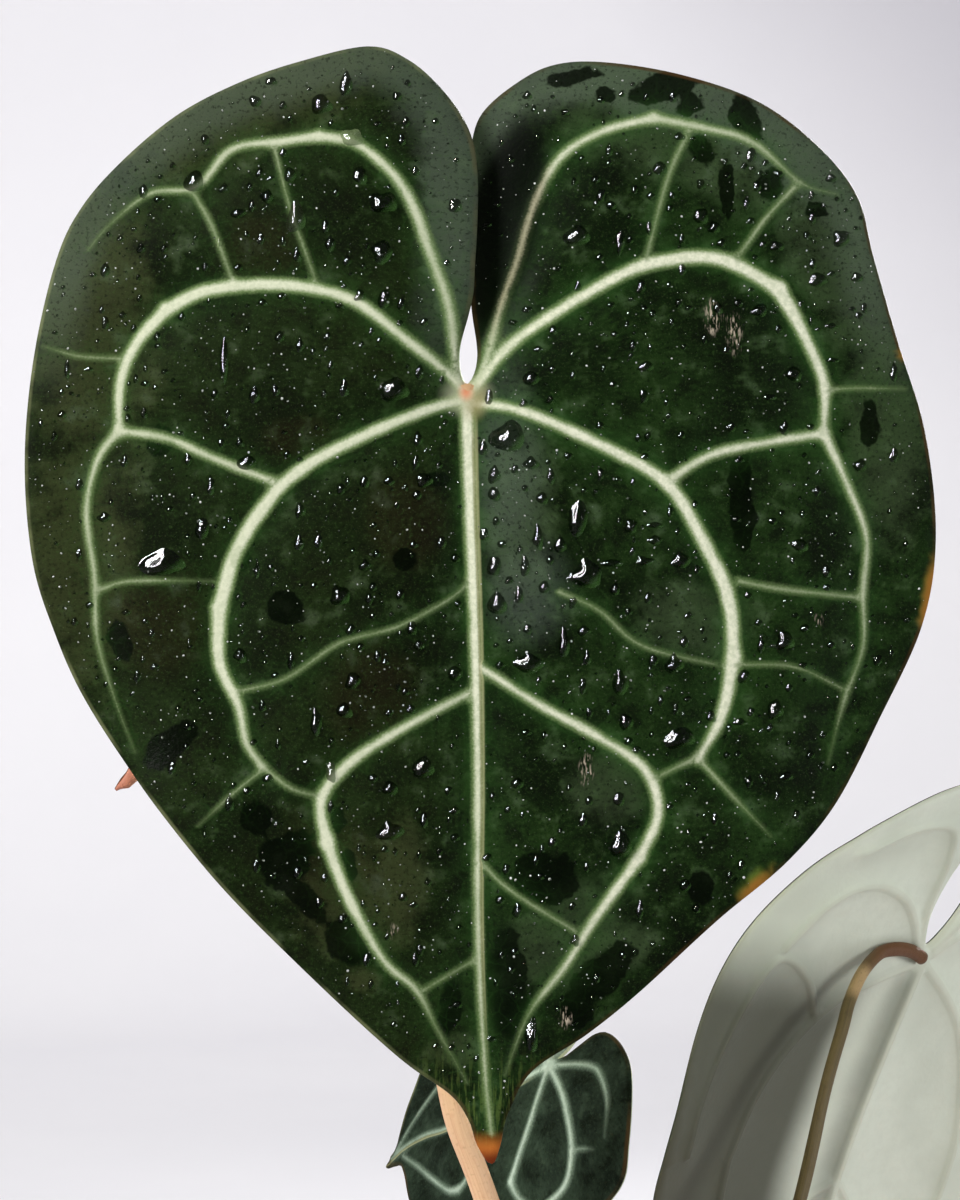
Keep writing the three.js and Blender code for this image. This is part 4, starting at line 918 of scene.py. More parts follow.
# %% Velvet: what its shader knows
class Velvet(Finish):
    """The upper face of a blade, from the tones deep, middle, warm, bright, cream, seam and shoulder."""

    def __init__(self, name, tones, marked):
        deep, self.middle, self.warm, self.bright, self.cream, self.seam, self.shoulder = tones
        super().__init__(name, deep)
        self.marked = marked
        flat = self.flat = self.attribute("flat", "Vector")
        self.left, self.y = self.axis(flat, "X").rise(6, -14), self.axis(flat, "Y")
        self.beside, self.strength = self.attribute("vein"), self.attribute("strength")
        self.edge = self.attribute("edge")
        self.mottle = self.grain(flat, 0.16, 5.0, 0.62)
        self.fine = self.grain(flat, 1.3, 3.0, 0.65)
        self.grit = self.grain(flat, 3.4, 2.0, 0.6)
        self.rough = 0.50 + self.fine * 0.16
        self.ragged = self.wet = self.margin_sheen = self.lobe_shadow = 0

    def mark(self, name, fray, low, high):
        """A mark of the mesh with its edge frayed by noise."""
        return (self.attribute(name) + self.ragged * fray).rise(low, high)

    def paint_clouds(self):
        """Two greens in clouds, light and dark mottle, and warmer tones on the left half."""
        broad = self.grain(self.flat, 0.045, 2.0).rise(0.36, 0.64)
        self.paint(broad, self.middle)
        self.paint(self.mottle.rise(0.50, 0.70) * 0.5, self.bright)
        self.paint(self.mottle.rise(0.50, 0.36) * 0.75, (5, 11, 2))
        self.paint(self.left * (0.2 + broad * 0.3), self.warm)

    def paint_films(self):
        """Painted sheen in grey patches, along the margins and beside the midrib; brown clouds, wet patches,
        pale strands near the tip, and the painted shadow that the left lobe casts by the sinus.
        """
        self.ragged = (self.grain(self.flat, 0.16, 3.0, 0.6) - 0.5) * 2.4
        # Painted sheen: grey patches where the velvet catches light, olive on the left half
        self.paint(self.mark("grey_sheen", 0.9, 0.1, 0.9) * 0.48,
                   self.mix(self.left, srgb(62, 78, 50), srgb(64, 70, 40)))
        self.paint(self.mark("brown", 0.5, 0.2, 0.9) * 0.5, (30, 24, 10))
        # Painted sheen: a grey band along the upper margins and the listed patches, where the face catches
        # light
        band = (self.edge + self.ragged * 2).rise(10, 3) * self.y.rise(-5, 25)
        self.margin_sheen = self.mark("margin_sheen", 0.8, 0.1, 0.8).larger(band)
        self.paint(self.margin_sheen * 0.40, (98, 112, 94))
        # Painted sheen beside the midrib, where the face turns toward the light
        self.paint(self.mark("sheen", 0.25, 0.0, 1.1) * 0.32, (96, 110, 96))
        self.wet = (self.attribute("wet") + self.ragged * 0.7 + (self.fine - 0.5) * 0.3).rise(0.38, 0.58)
        self.paint(self.wet * 0.92, (1, 5, 0))
        strands = self.grain(self.flat, 1.0, 3.0, 0.6, stretch=(1.5, 0.14, 1)).rise(0.48, 0.60)
        self.paint(strands * self.y.rise(-120, -133) * 0.45, (98, 118, 56))
        # Painted shadow: where the left lobe shades the right one by the sinus, the face goes near black
        self.lobe_shadow = self.attribute("lobe_shadow").rise(0.02, 0.62)
        self.paint(self.lobe_shadow * 0.94, (2, 6, 1))
        self.rough = self.rough * (1 - self.wet * 0.5)

    def paint_grit(self):
        """The velvet itself: light and dark grit, the light grit drowned where the face is wet."""
        dry = 1 - self.wet * 0.85
        self.paint(self.fine.rise(0.54, 0.72) * 0.35 * dry, self.bright)
        self.paint(self.fine.rise(0.48, 0.32) * 0.6, (3, 7, 0))
        self.paint(self.grit.rise(0.60, 0.76) * 0.25 * dry, (108, 126, 80))


# %% Velvet: veins and marks
# The junction's pale ring, painted brown shade on its right flank and its orange knot:
# centre, reach, lean, softness, share, tone
JUNCTION_SPOTS = [((0, -0.6), (3.6, 3.0), 0, 0.7, 0.6, (196, 200, 166)),
                  ((1.6, -2.0), (1.7, 2.6), -20, 0.9, 0.6, (138, 122, 70)),
                  ((-0.2, 0.1), (1.0, 1.2), 0, 1.0, 0.9, (218, 136, 96))]


def paint_veins(leaf):
    """A net of the smallest veins; then a lit seam, a light green shoulder and a cream core, all feathered."""
    flat, mottle, strength = leaf.flat, leaf.mottle, leaf.strength
    leaf.paint(leaf.net(flat, 0.30, 0.5, 0.9, (0.06, 0.01)) * (leaf.beside * -0.35).exp() * 0.22, leaf.seam)
    feather = (leaf.grain(flat, 2.2, 3.0, 0.65) - 0.5) * 0.8 + (mottle - 0.5) * 0.9
    off = leaf.beside + feather + 0.1
    halo = (off.larger(0) * -0.6).exp() * (0.25 + strength * 0.75) * (0.3 + mottle.rise(0.35, 0.65) * 0.7)
    leaf.paint((halo * (1 - leaf.left * 0.35)).smaller(1.0) * 0.9, leaf.seam)
    leaf.paint(off.rise(0.9, -0.25) * (0.2 + strength * 0.65), leaf.shoulder)
    # The painted shadow by the sinus again, over the seams
    if leaf.marked:
        leaf.paint(leaf.lobe_shadow * 0.85, (2, 6, 1))
    # Veins show less under the painted margin sheen and where the face is wet
    shown = (strength * (0.75 + mottle * 0.5)).rise(0.28, 0.9) * (1 - leaf.margin_sheen * 0.6) * (1 - leaf.wet * 0.5)
    pale = leaf.mix(shown, between(0.65, leaf.cream, leaf.shoulder), between(0.4, leaf.cream, leaf.shoulder))
    crest = off.rise(-0.10, -0.85) * (0.35 + leaf.grain(flat, 0.9, 3.0, 0.6).rise(0.38, 0.62) * 0.65)
    pale = leaf.mix(crest * shown * (1 - leaf.left * 0.45), pale, srgb(*leaf.cream))
    # Veins in the painted shadow by the sinus turn tan
    if leaf.marked:
        pale = leaf.mix(leaf.lobe_shadow * 0.6, pale, srgb(140, 124, 92))
    patchy = leaf.grain(flat, 0.10, 2.0).rise(0.42, 0.56)
    full = 0.5 + strength * 0.5 - (1 - strength) * patchy * 0.4
    leaf.paint(off.rise(0.22, -0.65) * full, pale)


def paint_midrib_and_rim(leaf):
    """The midrib's far flank in brown shade with a thin gold line at its foot, and a fine coloured margin."""
    spine = leaf.y.rise(-2, -10) * leaf.y.rise(-128, -100)
    over = leaf.attribute("midrib") / leaf.attribute("half")
    leaf.paint(over.rise(0.35, 0.70) * over.rise(1.15, 0.85) * spine * 0.55, (140, 136, 92))
    leaf.paint(over.rise(0.95, 1.1) * over.rise(1.6, 1.3) * spine * 0.4, (196, 192, 142))
    rim = leaf.edge.rise(0.7, 0.2) * leaf.grain(leaf.flat, 0.08, 3.0).rise(0.35, 0.65)
    leaf.paint(rim * leaf.left * 0.5, (140, 146, 104))
    leaf.paint(rim * (1 - leaf.left) * 0.8, (74, 54, 30))


def paint_scars(leaf):
    """Yellow and orange stains at the margin, the orange tip, dry scars and the junction."""
    stain = leaf.mark("stain", 0.2, 0.1, 0.9)
    leaf.paint(stain * leaf.edge.rise(7, 1) * 0.45, (120, 138, 52))
    leaf.paint(stain * leaf.edge.rise(2.2, 0.4) * 0.8, (170, 112, 46))
    leaf.paint(leaf.y.rise(-137, -141.5) * 0.9,
               leaf.mix(leaf.y.rise(-140, -143), srgb(196, 112, 46), srgb(120, 48, 20)))
    streaks = leaf.grain(leaf.flat, 1.0, 3.0, 0.6, stretch=(2.6, 0.5, 1)).rise(0.50, 0.60)
    leaf.paint(leaf.attribute("scar").rise(0.30, 0.95) * streaks * 0.75, (206, 190, 168))
    for centre, reach, lean, soft, share, tone in JUNCTION_SPOTS:
        leaf.paint(leaf.spot(leaf.flat, centre, reach, lean, soft) * share, tone)


def velvet(name, *tones, marked=False):
    leaf = Velvet(name, tones, marked)
    leaf.paint_clouds()
    if marked:
        leaf.paint_films()
    leaf.paint_grit()
    paint_veins(leaf)
    paint_midrib_and_rim(leaf)
    if marked:
        paint_scars(leaf)
    height = leaf.fine * 0.5 + leaf.grain(leaf.flat, 0.45) * 0.5 + leaf.grit * 0.25
    return leaf.skin(leaf.rough, leaf.bump(height, 0.22), Specular_IOR_Level=0.05)


# %% The back of a blade
def underside(name, ground, dark, vein, rib, shown=1.0, shade_tone=None):
    """Dull and pale, with a fine net that shows through. Given a shade tone, it also paints shade on one side
    toward the tip and along the midrib.
    """
    leaf = Finish(name, ground)
    flat, beside, midrib = leaf.attribute("flat", "Vector"), leaf.attribute("vein"), leaf.attribute("midrib")
    leaf.paint(leaf.grain(flat, 0.035, 3.0).rise(0.35, 0.65), dark)
    leaf.paint(leaf.grain(flat, 0.45, 4.0, 0.6).rise(0.40, 0.68) * 0.25, dark)
    net = leaf.net(flat, 0.22, 0.4, 1.0, (0.08, 0.015))
    leaf.paint(net * 0.25 * shown, rib)
    leaf.paint(beside.rise(1.6, 0.0) * 0.35 * shown, rib)
    leaf.paint(beside.rise(0.15, -0.2) * 0.85 * shown, vein)
    leaf.paint(leaf.attribute("edge").rise(0.8, 0.2) * 0.6, rib)
    # Painted shade: one side darkens toward the tip, and a band beside the midrib darkens with it
    if shade_tone:
        x, y = leaf.axis(flat, "X"), leaf.axis(flat, "Y")
        shade = y.rise(3, -20) * x.rise(8, 20) * 0.92
        midrib_shadow = midrib.rise(0.2, 1.5) * midrib.rise(8, 2) * 0.45 * y.rise(0, -8)
        leaf.paint(shade.larger(midrib_shadow), shade_tone)
    relief = leaf.bump(leaf.grain(flat, 0.9, 3.0) + net * 0.4 * shown, 0.2 * shown)
    return leaf.skin(0.55, relief, Specular_IOR_Level=0.35, Sheen_Weight=0.12, Sheen_Roughness=0.4,
                     Sheen_Tint=(0.9, 0.95, 0.88, 1))


# %% Leaf finishes
green_velvet = velvet("velvet, large leaf", (8, 21, 3), (23, 43, 13), (24, 28, 9), (52, 78, 34),
                      (234, 236, 210), (44, 80, 32), (124, 148, 94), marked=True)
grey_velvet = velvet("velvet, low leaf", (16, 25, 17), (36, 48, 36), (22, 30, 21), (60, 76, 60),
                     (208, 224, 208), (62, 78, 62), (128, 148, 128))
warm_velvet = velvet("velvet, right leaf", (8, 21, 3), (22, 42, 12), (27, 30, 10), (52, 76, 32),
                     (234, 236, 210), (44, 80, 32), (124, 148, 94))
bronze_velvet = velvet("bronze upper face", (92, 48, 34), (120, 66, 46), (84, 36, 28), (140, 92, 62),
                       (214, 150, 118), (176, 104, 74), (190, 124, 94))
plain_back = underside("leaf back", (176, 186, 158), (146, 158, 130), (198, 202, 168), (180, 186, 152))
# Partly its own pale green, partly painted light: lightened for daylight through the leaf, with painted shade
lit_and_shaded_back = underside("pale leaf back, painted light and shade", (228, 234, 216), (212, 218, 200), (196, 197, 172),
                        (214, 217, 196), 0.25, (66, 67, 50))
bronze_back = underside("bronze back", (206, 140, 112), (166, 110, 92), (222, 160, 130), (196, 122, 98))
print("leaf finishes:", [made.name for made in (green_velvet, grey_velvet, warm_velvet, bronze_velvet)])

# %% [markdown]
# ## Four blades
# The large blade faces the camera. The low one looks out from behind its petiole, the right one turns its
# back to us, and the youngest hangs behind the large blade with only its tip in view.

# %% Build the blades
large_marks = {mark: ovals(listed) for mark, listed in MARKS.items()}
large_leaf = build_blade("large", [green_velvet, plain_back], "velvet_leaf", large_marks)
build_blade("low", [grey_velvet, plain_back], "velvet_leaf")
build_blade("right", [warm_velvet, lit_and_shaded_back], "pale_backed_leaf")
build_blade("young", [bronze_velvet, bronze_back], "bronze_leaf")

# %% [markdown]
# ## Petioles
# A petiole is a round stalk, widest where it clasps the stem, with a slightly swollen joint under the blade
# that lets the leaf turn to the light. It is a limb along its own path. Its skin has fine lengthwise streaks,
# so each place on it carries the way round and the distance up from the foot for the shader to follow.

# %% Petiole skins
# Slot, the tones of foot, body, joint and streaks, and how dark the joint is
STALKS = {
    "large": ("tan_petiole", (186, 140, 98), (236, 194, 152), (190, 150, 106), (214, 158, 120), 0),
    "low": ("green_petiole", (122, 112, 70), (138, 130, 84), (112, 104, 66), (98, 96, 58), 0),
    "right": ("brown_petiole", (84, 78, 48), (108, 92, 54), (106, 68, 36), (70, 60, 32), 1),
    "young": ("red_petiole", (140, 96, 66), (168, 88, 66), (178, 84, 64), (120, 58, 46), 0),
}


def stalk_skin(slot, foot, body, joint, streak, dark_joint):
    stalk = Finish(slot.replace("_petiole", " stalk"), foot)
    skin, from_top = stalk.attribute("skin", "Vector"), stalk.attribute("from_top")
    streaks = stalk.grain(skin, 1.0, 4.0, 0.6, stretch=(3.2, 3.2, 0.05))
    blotch = stalk.grain(skin, 0.35, 3.0)
    stalk.paint(stalk.attribute("share").rise(0.0, 0.35), body)
    stalk.paint(streaks.rise(0.42, 0.68) * 0.55, streak)
    stalk.paint(blotch.rise(0.55, 0.72) * 0.25, streak)
    stalk.paint(from_top.rise(26, 12) * (0.75 + dark_joint * 0.25), joint)
    # A painted highlight: a light band below the dark joint, where light catches the stalk
    stalk.paint(from_top.rise(19, 23) * from_top.rise(31, 27) * dark_joint * 0.8, (196, 164, 116))
    stalk.paint(stalk.grain(skin, 1.4, 3.0).rise(0.55, 0.7) * 0.3, foot)
    wrinkle = stalk.grain(skin, 1.0, stretch=(1, 1, 1.1)) * from_top.rise(20, 8)
    return stalk.skin(0.42 + blotch * 0.14, stalk.bump(streaks + wrinkle, 0.12), Specular_IOR_Level=0.4,
                      Subsurface_Weight=0.05, Subsurface_Radius=(0.002, 0.001, 0.0006))


# %% Build the petioles
PETIOLE_FOOT, PETIOLE_RADIUS, PETIOLE_JOINT, JOINT_LENGTH, SHEATH_LENGTH = 3.6, 2.5, 2.9, 13, 16
# How far behind the upper face of its blade a stalk keeps, and how near to the junction it may stop
STALK_BEHIND, STALK_END = 1.5, 1.6


def build_petiole(key):
    leaf = LEAVES[key]
    path = smooth_line(leaf["petiole"], 0.5)
    # Where the path comes too near to the sheet it is pushed back, and close to the junction it stops there
    face = blades[key].basis[2]
    from_junction = path - leaf["junction"]
    depth = from_junction @ face
    aside = np.linalg.norm(from_junction - depth[:, None] * face, axis=1)
    too_near = np.maximum(depth + STALK_BEHIND, 0)
    path = (path - too_near[:, None] * face)[(too_near == 0) | (aside > STALK_END)]
    length = float(np.linalg.norm(np.diff(path, axis=0), axis=1).sum())

    def radius_at(share):
        sheath = math.exp(-share * length / SHEATH_LENGTH) * (PETIOLE_FOOT - PETIOLE_RADIUS)
        swell = 1 - float(rise(JOINT_LENGTH * 0.7, JOINT_LENGTH * 1.3, (1 - share) * length))
        body = PETIOLE_RADIUS * (1 - 0.1 * share)
        return (body + sheath + swell * (PETIOLE_JOINT - PETIOLE_RADIUS)) * leaf["stalk"]

    places, faces, around = limb(path, radius_at, 28, 170, wobble=0.10, seed=leaf["seed"])
    run = around[:, 2]
    attributes = {"skin": around * [PETIOLE_RADIUS, PETIOLE_RADIUS, 1], "share": run / length,
                  "from_top": length - run}
    return add_piece(f"stalk_{key}", places, faces, [stalk_skin(*STALKS[key])], STALKS[key][0],
                     [f"petiole_{key}"], attributes)


for key in LEAVES:
    build_petiole(key)

# %% [markdown]
# ## Stem and aerial roots
# The stem of this plant is a short stump, ringed by the scars of old leaves, with thick roots that come out
# of its side and dive into the mix. Limbs that only poke into each other would leave hidden skins inside, so
# the stem and its roots are melted into one skin with a voxel remesh, which suits an organic joint.


# %% Stem finish
def stem_skin():
    stem = Finish("stem skin", (74, 68, 40))
    place = stem.place()
    x, y, z = (stem.axis(place, name) for name in "XYZ")
    bark = stem.grain(place, 0.9, 5.0, 0.65, stretch=(1, 1, 0.4))
    rings = stem.grain(place, 1.0, 3.0, stretch=(0.05, 0.05, 1.2))
    stem.paint(bark.rise(0.35, 0.65), (118, 104, 66))
    stem.paint(rings.rise(0.5, 0.68) * 0.7, (164, 142, 104))
    stem.paint(z.rise(116, 127) * 0.6, (96, 112, 58))
    root = stem.mix(stem.grain(place, 1.3, 4.0, 0.6).rise(0.4, 0.65), srgb(150, 134, 108), srgb(104, 88, 64))
    stem.paint(((x * x + y * y) ** 0.5).rise(9.5, 12), root)
    return stem.skin(0.72, stem.bump(bark + rings * 0.6, 0.35), Specular_IOR_Level=0.3)


# %% Build the stem
STEM_RADIUS, STEM_FOOT, STEM_TOP = 8, 68, 129
SCAR_STEP, SCAR_HEIGHT, ROOT_RADIUS = 7.5, 0.5, 1.7
STEM_PATH = [(0.5, 0, STEM_FOOT), (1, -0.5, 88), (-0.5, 0.5, 108), (0, 0, STEM_TOP)]
ROOT_PATHS = [
    [(0, 0, 106), (9, -5, 109), (17, -10, 106), (22, -14, 99), (24, -16, 86)],
    [(0, 0, 109), (-3, -9, 112), (-5, -18, 109), (-8, -24, 101), (-9, -26, 88)],
    [(0, 0, 107), (-8, 4, 110), (-15, 8, 107), (-20, 12, 99), (-21, 14, 85)],
    [(0, 0, 104), (6, 8, 106), (10, 15, 103), (12, 19, 96), (12.5, 21, 84)],
    [(0, 0, 103), (9, 4, 105), (16, 4, 102), (22, 6, 96), (24, 7, 86)],
]


def stem_radius(share):
    scar = max(0, math.cos(share * (STEM_TOP - STEM_FOOT) * math.pi * 2 / SCAR_STEP)) ** 6 * SCAR_HEIGHT
    blunt = math.sqrt(1 - float(rise(0.86, 1.04, share)) * 0.97)
    foot = math.sqrt(1 - (1 - float(rise(0, 0.2, share))) * 0.6)
    return (STEM_RADIUS + scar) * blunt * foot


def joined(parts):
    """Several sets of places and faces as one."""
    places, faces, count = [], [], 0
    for some_places, some_faces in parts:
        places.append(some_places)
        faces.extend(tuple(corner + count for corner in face) for face in some_faces)
        count += len(some_places)
    return np.concatenate(places), faces


def melted(name, places, faces, voxel):
    """The parts joined into one closed skin."""
    rough = linked(name, mesh_of(name, places, faces))
    remesh = rough.modifiers.new("melt", "REMESH")
    remesh.mode, remesh.voxel_size, remesh.use_smooth_shade = "VOXEL", voxel * MM, True
    smoothing = rough.modifiers.new("soften", "SMOOTH")
    smoothing.factor, smoothing.iterations = 0.5, 3
    made = finished_mesh(rough)
    bpy.data.objects.remove(rough)
    return made


stem_parts = [limb(STEM_PATH, stem_radius, 40, 90, wobble=0.5, seed=3)[:2]]
for number, path in enumerate(ROOT_PATHS):
    stem_parts.append(limb(path, lambda share: ROOT_RADIUS * (1.25 - 0.35 * share), 16, 40, 0.25, number)[:2])
stem_mesh = melted("stem_and_roots", *joined(stem_parts), 0.55)
stem_mesh.materials.append(stem_skin())
declare(linked("stem_and_roots", stem_mesh), ["stem"])

# %% [markdown]
# ## Cataphylls
# Each new leaf comes out of a small sheathing leaf, the cataphyll, which dries to brown paper and frays into
# fibres. It is a curved, pointed sheet round one side of the stem. A ragged edge comes from pulling each
# column of the sheet up or down by noise that grows toward the tip.

# %% Papery finish
def papery():
    sheath = Finish("papery sheath", (92, 62, 38))
    skin = sheath.attribute("skin", "Vector")
    fibres = sheath.grain(skin, 1.0, 4.0, 0.65, stretch=(1.0, 2.6, 0.10))
    sheath.paint(fibres.rise(0.35, 0.65), (176, 138, 92))
    sheath.paint(sheath.axis(skin, "Z").rise(8, 0) * 0.5, (128, 116, 70))
    sheath.paint(sheath.grain(skin, 0.25, 3.0).rise(0.55, 0.75) * 0.6, (66, 44, 28))
    return sheath.skin(0.7, sheath.bump(fibres, 0.35), Specular_IOR_Level=0.25)


# %% Build the cataphylls
# Direction round the stem, foot, height and spread, with angles in radians
CATAPHYLLS = [(0.2, 108, 30, 2.1), (2.35, 112, 26, 1.7), (-2.05, 110, 22, 1.8)]
SHEET_COLUMNS, SHEET_ROWS, SHEET_THICKNESS, STEM_GAP = 44, 36, 0.5, 1.25


def sheet_place(number, direction, foot, height, spread, side, share, across):
    """A place on a cataphyll, and the same place for its finish."""
    angle = direction + across * (spread * (1 - share**1.6) * 0.5 + 0.035)
    fray = noise.noise(Vector((across * 9, number * 5.0, 0.0))) * 2.2 * share**3
    crease = noise.noise(Vector((across * 4, share * 2, number * 3.0))) * 0.35 * (0.3 + share)
    radius = STEM_RADIUS + STEM_GAP + side * SHEET_THICKNESS + share * share * 3.5 + crease
    return ((math.cos(angle) * radius, math.sin(angle) * radius, foot + height * share + min(fray, 0.4)),
            (radius, angle * 9, height * share))


def build_cataphyll(number, numbers, finish):
    columns, rows, faces = SHEET_COLUMNS, SHEET_ROWS, []
    made = [sheet_place(number, *numbers, side, row / rows, column / columns * 2 - 1)
            for side in (0, 1) for row in range(rows + 1) for column in range(columns + 1)]

    def face(*corners):
        faces.append([(side * (rows + 1) + row) * (columns + 1) + column for side, row, column in corners])

    for r in range(rows):
        for c in range(columns):
            face((1, r, c), (1, r, c + 1), (1, r + 1, c + 1), (1, r + 1, c))
            face((0, r, c), (0, r + 1, c), (0, r + 1, c + 1), (0, r, c + 1))
    rim = ([(0, c) for c in range(columns)] + [(r, columns) for r in range(rows)]
           + [(rows, c) for c in range(columns, 0, -1)] + [(r, 0) for r in range(rows, 0, -1)])
    for here, there in zip(rim, rim[1:] + rim[:1]):
        face((1, *here), (0, *here), (0, *there), (1, *there))
    places, skin = zip(*made)
    return add_piece(f"sheath_{number}", places, faces, [finish], "papery_sheath", [f"cataphyll_{number}"],
                     {"skin": skin})


paper = papery()
for number, numbers in enumerate(CATAPHYLLS, 1):
    build_cataphyll(number, numbers, paper)

# %% [markdown]
# ## Clay pot
# A plain thrown pot: tapered body, thick rolled rim, three drain holes round the middle of its base. A thrown
# pot is turned, so it is a lathe of its profile, with faint rings left by the fingers. The holes are real
# holes, cut with a boolean, because light and water pass through them.

# %% Pot profile
POT_HEIGHT, RIM_RADIUS, RIM_HEIGHT, BODY_TOP, BASE_RADIUS = 115, 65, 23, 59.5, 44
WALL, FLOOR, EDGE = 6, 8, 2
DRAIN_RADIUS, DRAIN_RING, DRAIN_COUNT = 5, 20, 3
MIX_LEVEL = 101


def inside_radius(z):
    return min(BASE_RADIUS + (BODY_TOP - BASE_RADIUS) * z / (POT_HEIGHT - RIM_HEIGHT), BODY_TOP) - WALL


def softened(corners, reach, parts=4):
    """A profile whose corners are rounded off over reach millimetres."""
    line = [corners[0]]
    for before, here, after in zip(corners[:-2], corners[1:-1], corners[2:]):
        before, here, after = map(np.array, (before, here, after))
        into, away = before - here, after - here
        cut = min(reach, np.linalg.norm(into) * 0.45, np.linalg.norm(away) * 0.45)
        start = here + into / np.linalg.norm(into) * cut
        end = here + away / np.linalg.norm(away) * cut
        for t in np.linspace(0, 1, parts + 1):
            line.append(tuple((1 - t) ** 2 * start + 2 * t * (1 - t) * here + t * t * end))
    return line + [corners[-1]]


def subdivided(line, step):
    dense = []
    for a, b in zip(line[:-1], line[1:]):
        parts = max(1, round(math.dist(a, b) / step))
        dense += [(a[0] + (b[0] - a[0]) * i / parts, a[1] + (b[1] - a[1]) * i / parts) for i in range(parts)]
    return dense + [line[-1]]


def lathe(profile, segments, stray):
    """A closed turned body from a profile that starts and ends on the axis."""
    ring = profile[1:-1]
    places = [(0, 0, profile[0][1]), (0, 0, profile[-1][1])]
    for r, z in ring:
        for angle in turns(segments):
            out = r + stray(r, z, angle)
            places.append((math.cos(angle) * out, math.sin(angle) * out, z))
    return places, tube_faces(segments, len(ring), 0, 1, first=2)


# %% Clay finish
def clay_finish():
    clay = Finish("clay", (176, 100, 70))
    place = clay.place()
    fine = clay.grain(place, 0.6, 5.0, 0.7)
    pits = clay.grain(place, 1.6)
    clay.paint(clay.grain(place, 0.025, 4.0, 0.6).rise(0.35, 0.65), (196, 122, 90))
    clay.paint(fine.rise(0.42, 0.68) * 0.4, (154, 84, 58))
    bloom = clay.grain(place, 0.055, 5.0, 0.65, stretch=(1, 1, 0.45)).rise(0.52, 0.72)
    clay.paint(bloom * (0.25 + clay.axis(place, "Z").rise(60, 5) * 0.75) * 0.6, (214, 188, 164))
    clay.paint(pits.rise(0.66, 0.72) * 0.5, (112, 62, 44))
    rings = clay.grain(place, 1.0, 3.0, stretch=(0.02, 0.02, 0.9))
    relief = clay.bump(fine * 0.5 + rings * 0.8 - pits.rise(0.62, 0.72) * 0.8, 0.35)
    return clay.skin(0.78 + fine * 0.12, relief, Specular_IOR_Level=0.25)


# %% Build the pot
POT_SEGMENTS, ROUNDING, PROFILE_STEP, SHARP_FROM = 144, 1.6, 2.2, 40
# The base up to here, and all inside this radius, is trimmed true
TRIMMED_HEIGHT, TRIMMED_RADIUS = 1.5, 30


def thrown(r, z, angle):
    """How far the potter's fingers and hand strayed from the profile."""
    if z < TRIMMED_HEIGHT or r < TRIMMED_RADIUS:
        return 0.0
    rings = 0.10 * math.sin(z * 2.1) + 0.08 * noise.noise(Vector((z * 0.9, 3.0, 0.0)))
    hand = 0.35 * noise.noise(Vector((math.cos(angle) * 1.2, math.sin(angle) * 1.2, z * 0.02)))
    return rings + hand - 0.3


def build_pot(finish):
    rim_foot = POT_HEIGHT - RIM_HEIGHT
    corners = [(0, 0), (BASE_RADIUS - 1, 0), (BASE_RADIUS, EDGE), (BODY_TOP, rim_foot - 0.5),
               (RIM_RADIUS - 1, rim_foot), (RIM_RADIUS, rim_foot + EDGE), (RIM_RADIUS, POT_HEIGHT - 1.5),
               (RIM_RADIUS - 2.4, POT_HEIGHT), (inside_radius(POT_HEIGHT) + 2.2, POT_HEIGHT),
               (inside_radius(POT_HEIGHT), POT_HEIGHT - 2), (inside_radius(rim_foot), rim_foot),
               (inside_radius(FLOOR + 5), FLOOR + 5), (inside_radius(FLOOR) - 4, FLOOR), (0, FLOOR)]
    profile = subdivided(softened(corners, ROUNDING), PROFILE_STEP)
    pot = linked("clay_pot", mesh_of("clay_pot", *lathe(profile, POT_SEGMENTS, thrown)))
    drains = [limb([(math.cos(angle) * DRAIN_RING, math.sin(angle) * DRAIN_RING, z) for z in (-6, 4, 14)],
                   lambda share: DRAIN_RADIUS, 32, 2)[:2]
              for angle in turns(DRAIN_COUNT) + math.pi / 2]
    cutter = linked("drain cutters", mesh_of("drain cutters", *joined(drains)))
    holes = pot.modifiers.new("holes", "BOOLEAN")
    holes.operation, holes.object, holes.solver = "DIFFERENCE", cutter, "EXACT"
    cut = finished_mesh(pot)
    pot.modifiers.clear()
    pot.data = cut
    bpy.data.objects.remove(cutter)
    cut.polygons.foreach_set("use_smooth", [True] * len(cut.polygons))
    cut.set_sharp_from_angle(angle=math.radians(SHARP_FROM))
    cut.materials.clear()
    cut.materials.append(finish)
    return declare(pot, ["pot"])


build_pot(clay_finish())

# %% [markdown]
# ## Potting mix
# This plant grows in chunky mix: bark chips, perlite and fine dark crumbs. The bed is a turned body like the
# CAD solid with a lumpy top, and the CAD's own thirty-two chips lie on it at the same places. Between them
# Geometry Nodes scatter small bark, white perlite and crumbs over the top face, all from one tree whose
# inputs are the shape, the spacing and the sizes.


# %% Finishes of the mix
def crumbly(name, dark, light, scale, rough=0.9, depth=0.5):
    finish = Finish(name, dark)
    place = finish.place()
    tone = finish.grain(place, scale, 5.0, 0.65)
    finish.paint(tone.rise(0.35, 0.68), light)
    finish.paint(finish.grain(place, scale * 0.2).rise(0.5, 0.7) * 0.5, dark)
    return finish.skin(rough, finish.bump(tone, depth), Specular_IOR_Level=0.2)


earth = crumbly("fine mix", (38, 27, 19), (82, 60, 42), 1.1)
bark = crumbly("bark", (66, 40, 25), (142, 98, 64), 0.55, 0.8, 0.4)
perlite = crumbly("perlite", (196, 192, 180), (236, 234, 226), 1.4, 0.9, 0.25)
print("mix finishes:", [made.name for made in (earth, bark, perlite)])

# %% The bed
BED_RINGS, BED_SIDES, BED_GAP = 46, 132, 0.4
# Loose bits lie between these distances from the axis
STREWN_FROM, STREWN_TO = 9.5, 49.5


def bed_height(x, y):
    return MIX_LEVEL + BED_GAP + noise.fractal(Vector((x * 0.09, y * 0.09, 2.0)), 0.8, 2.0, 4) * 1.1


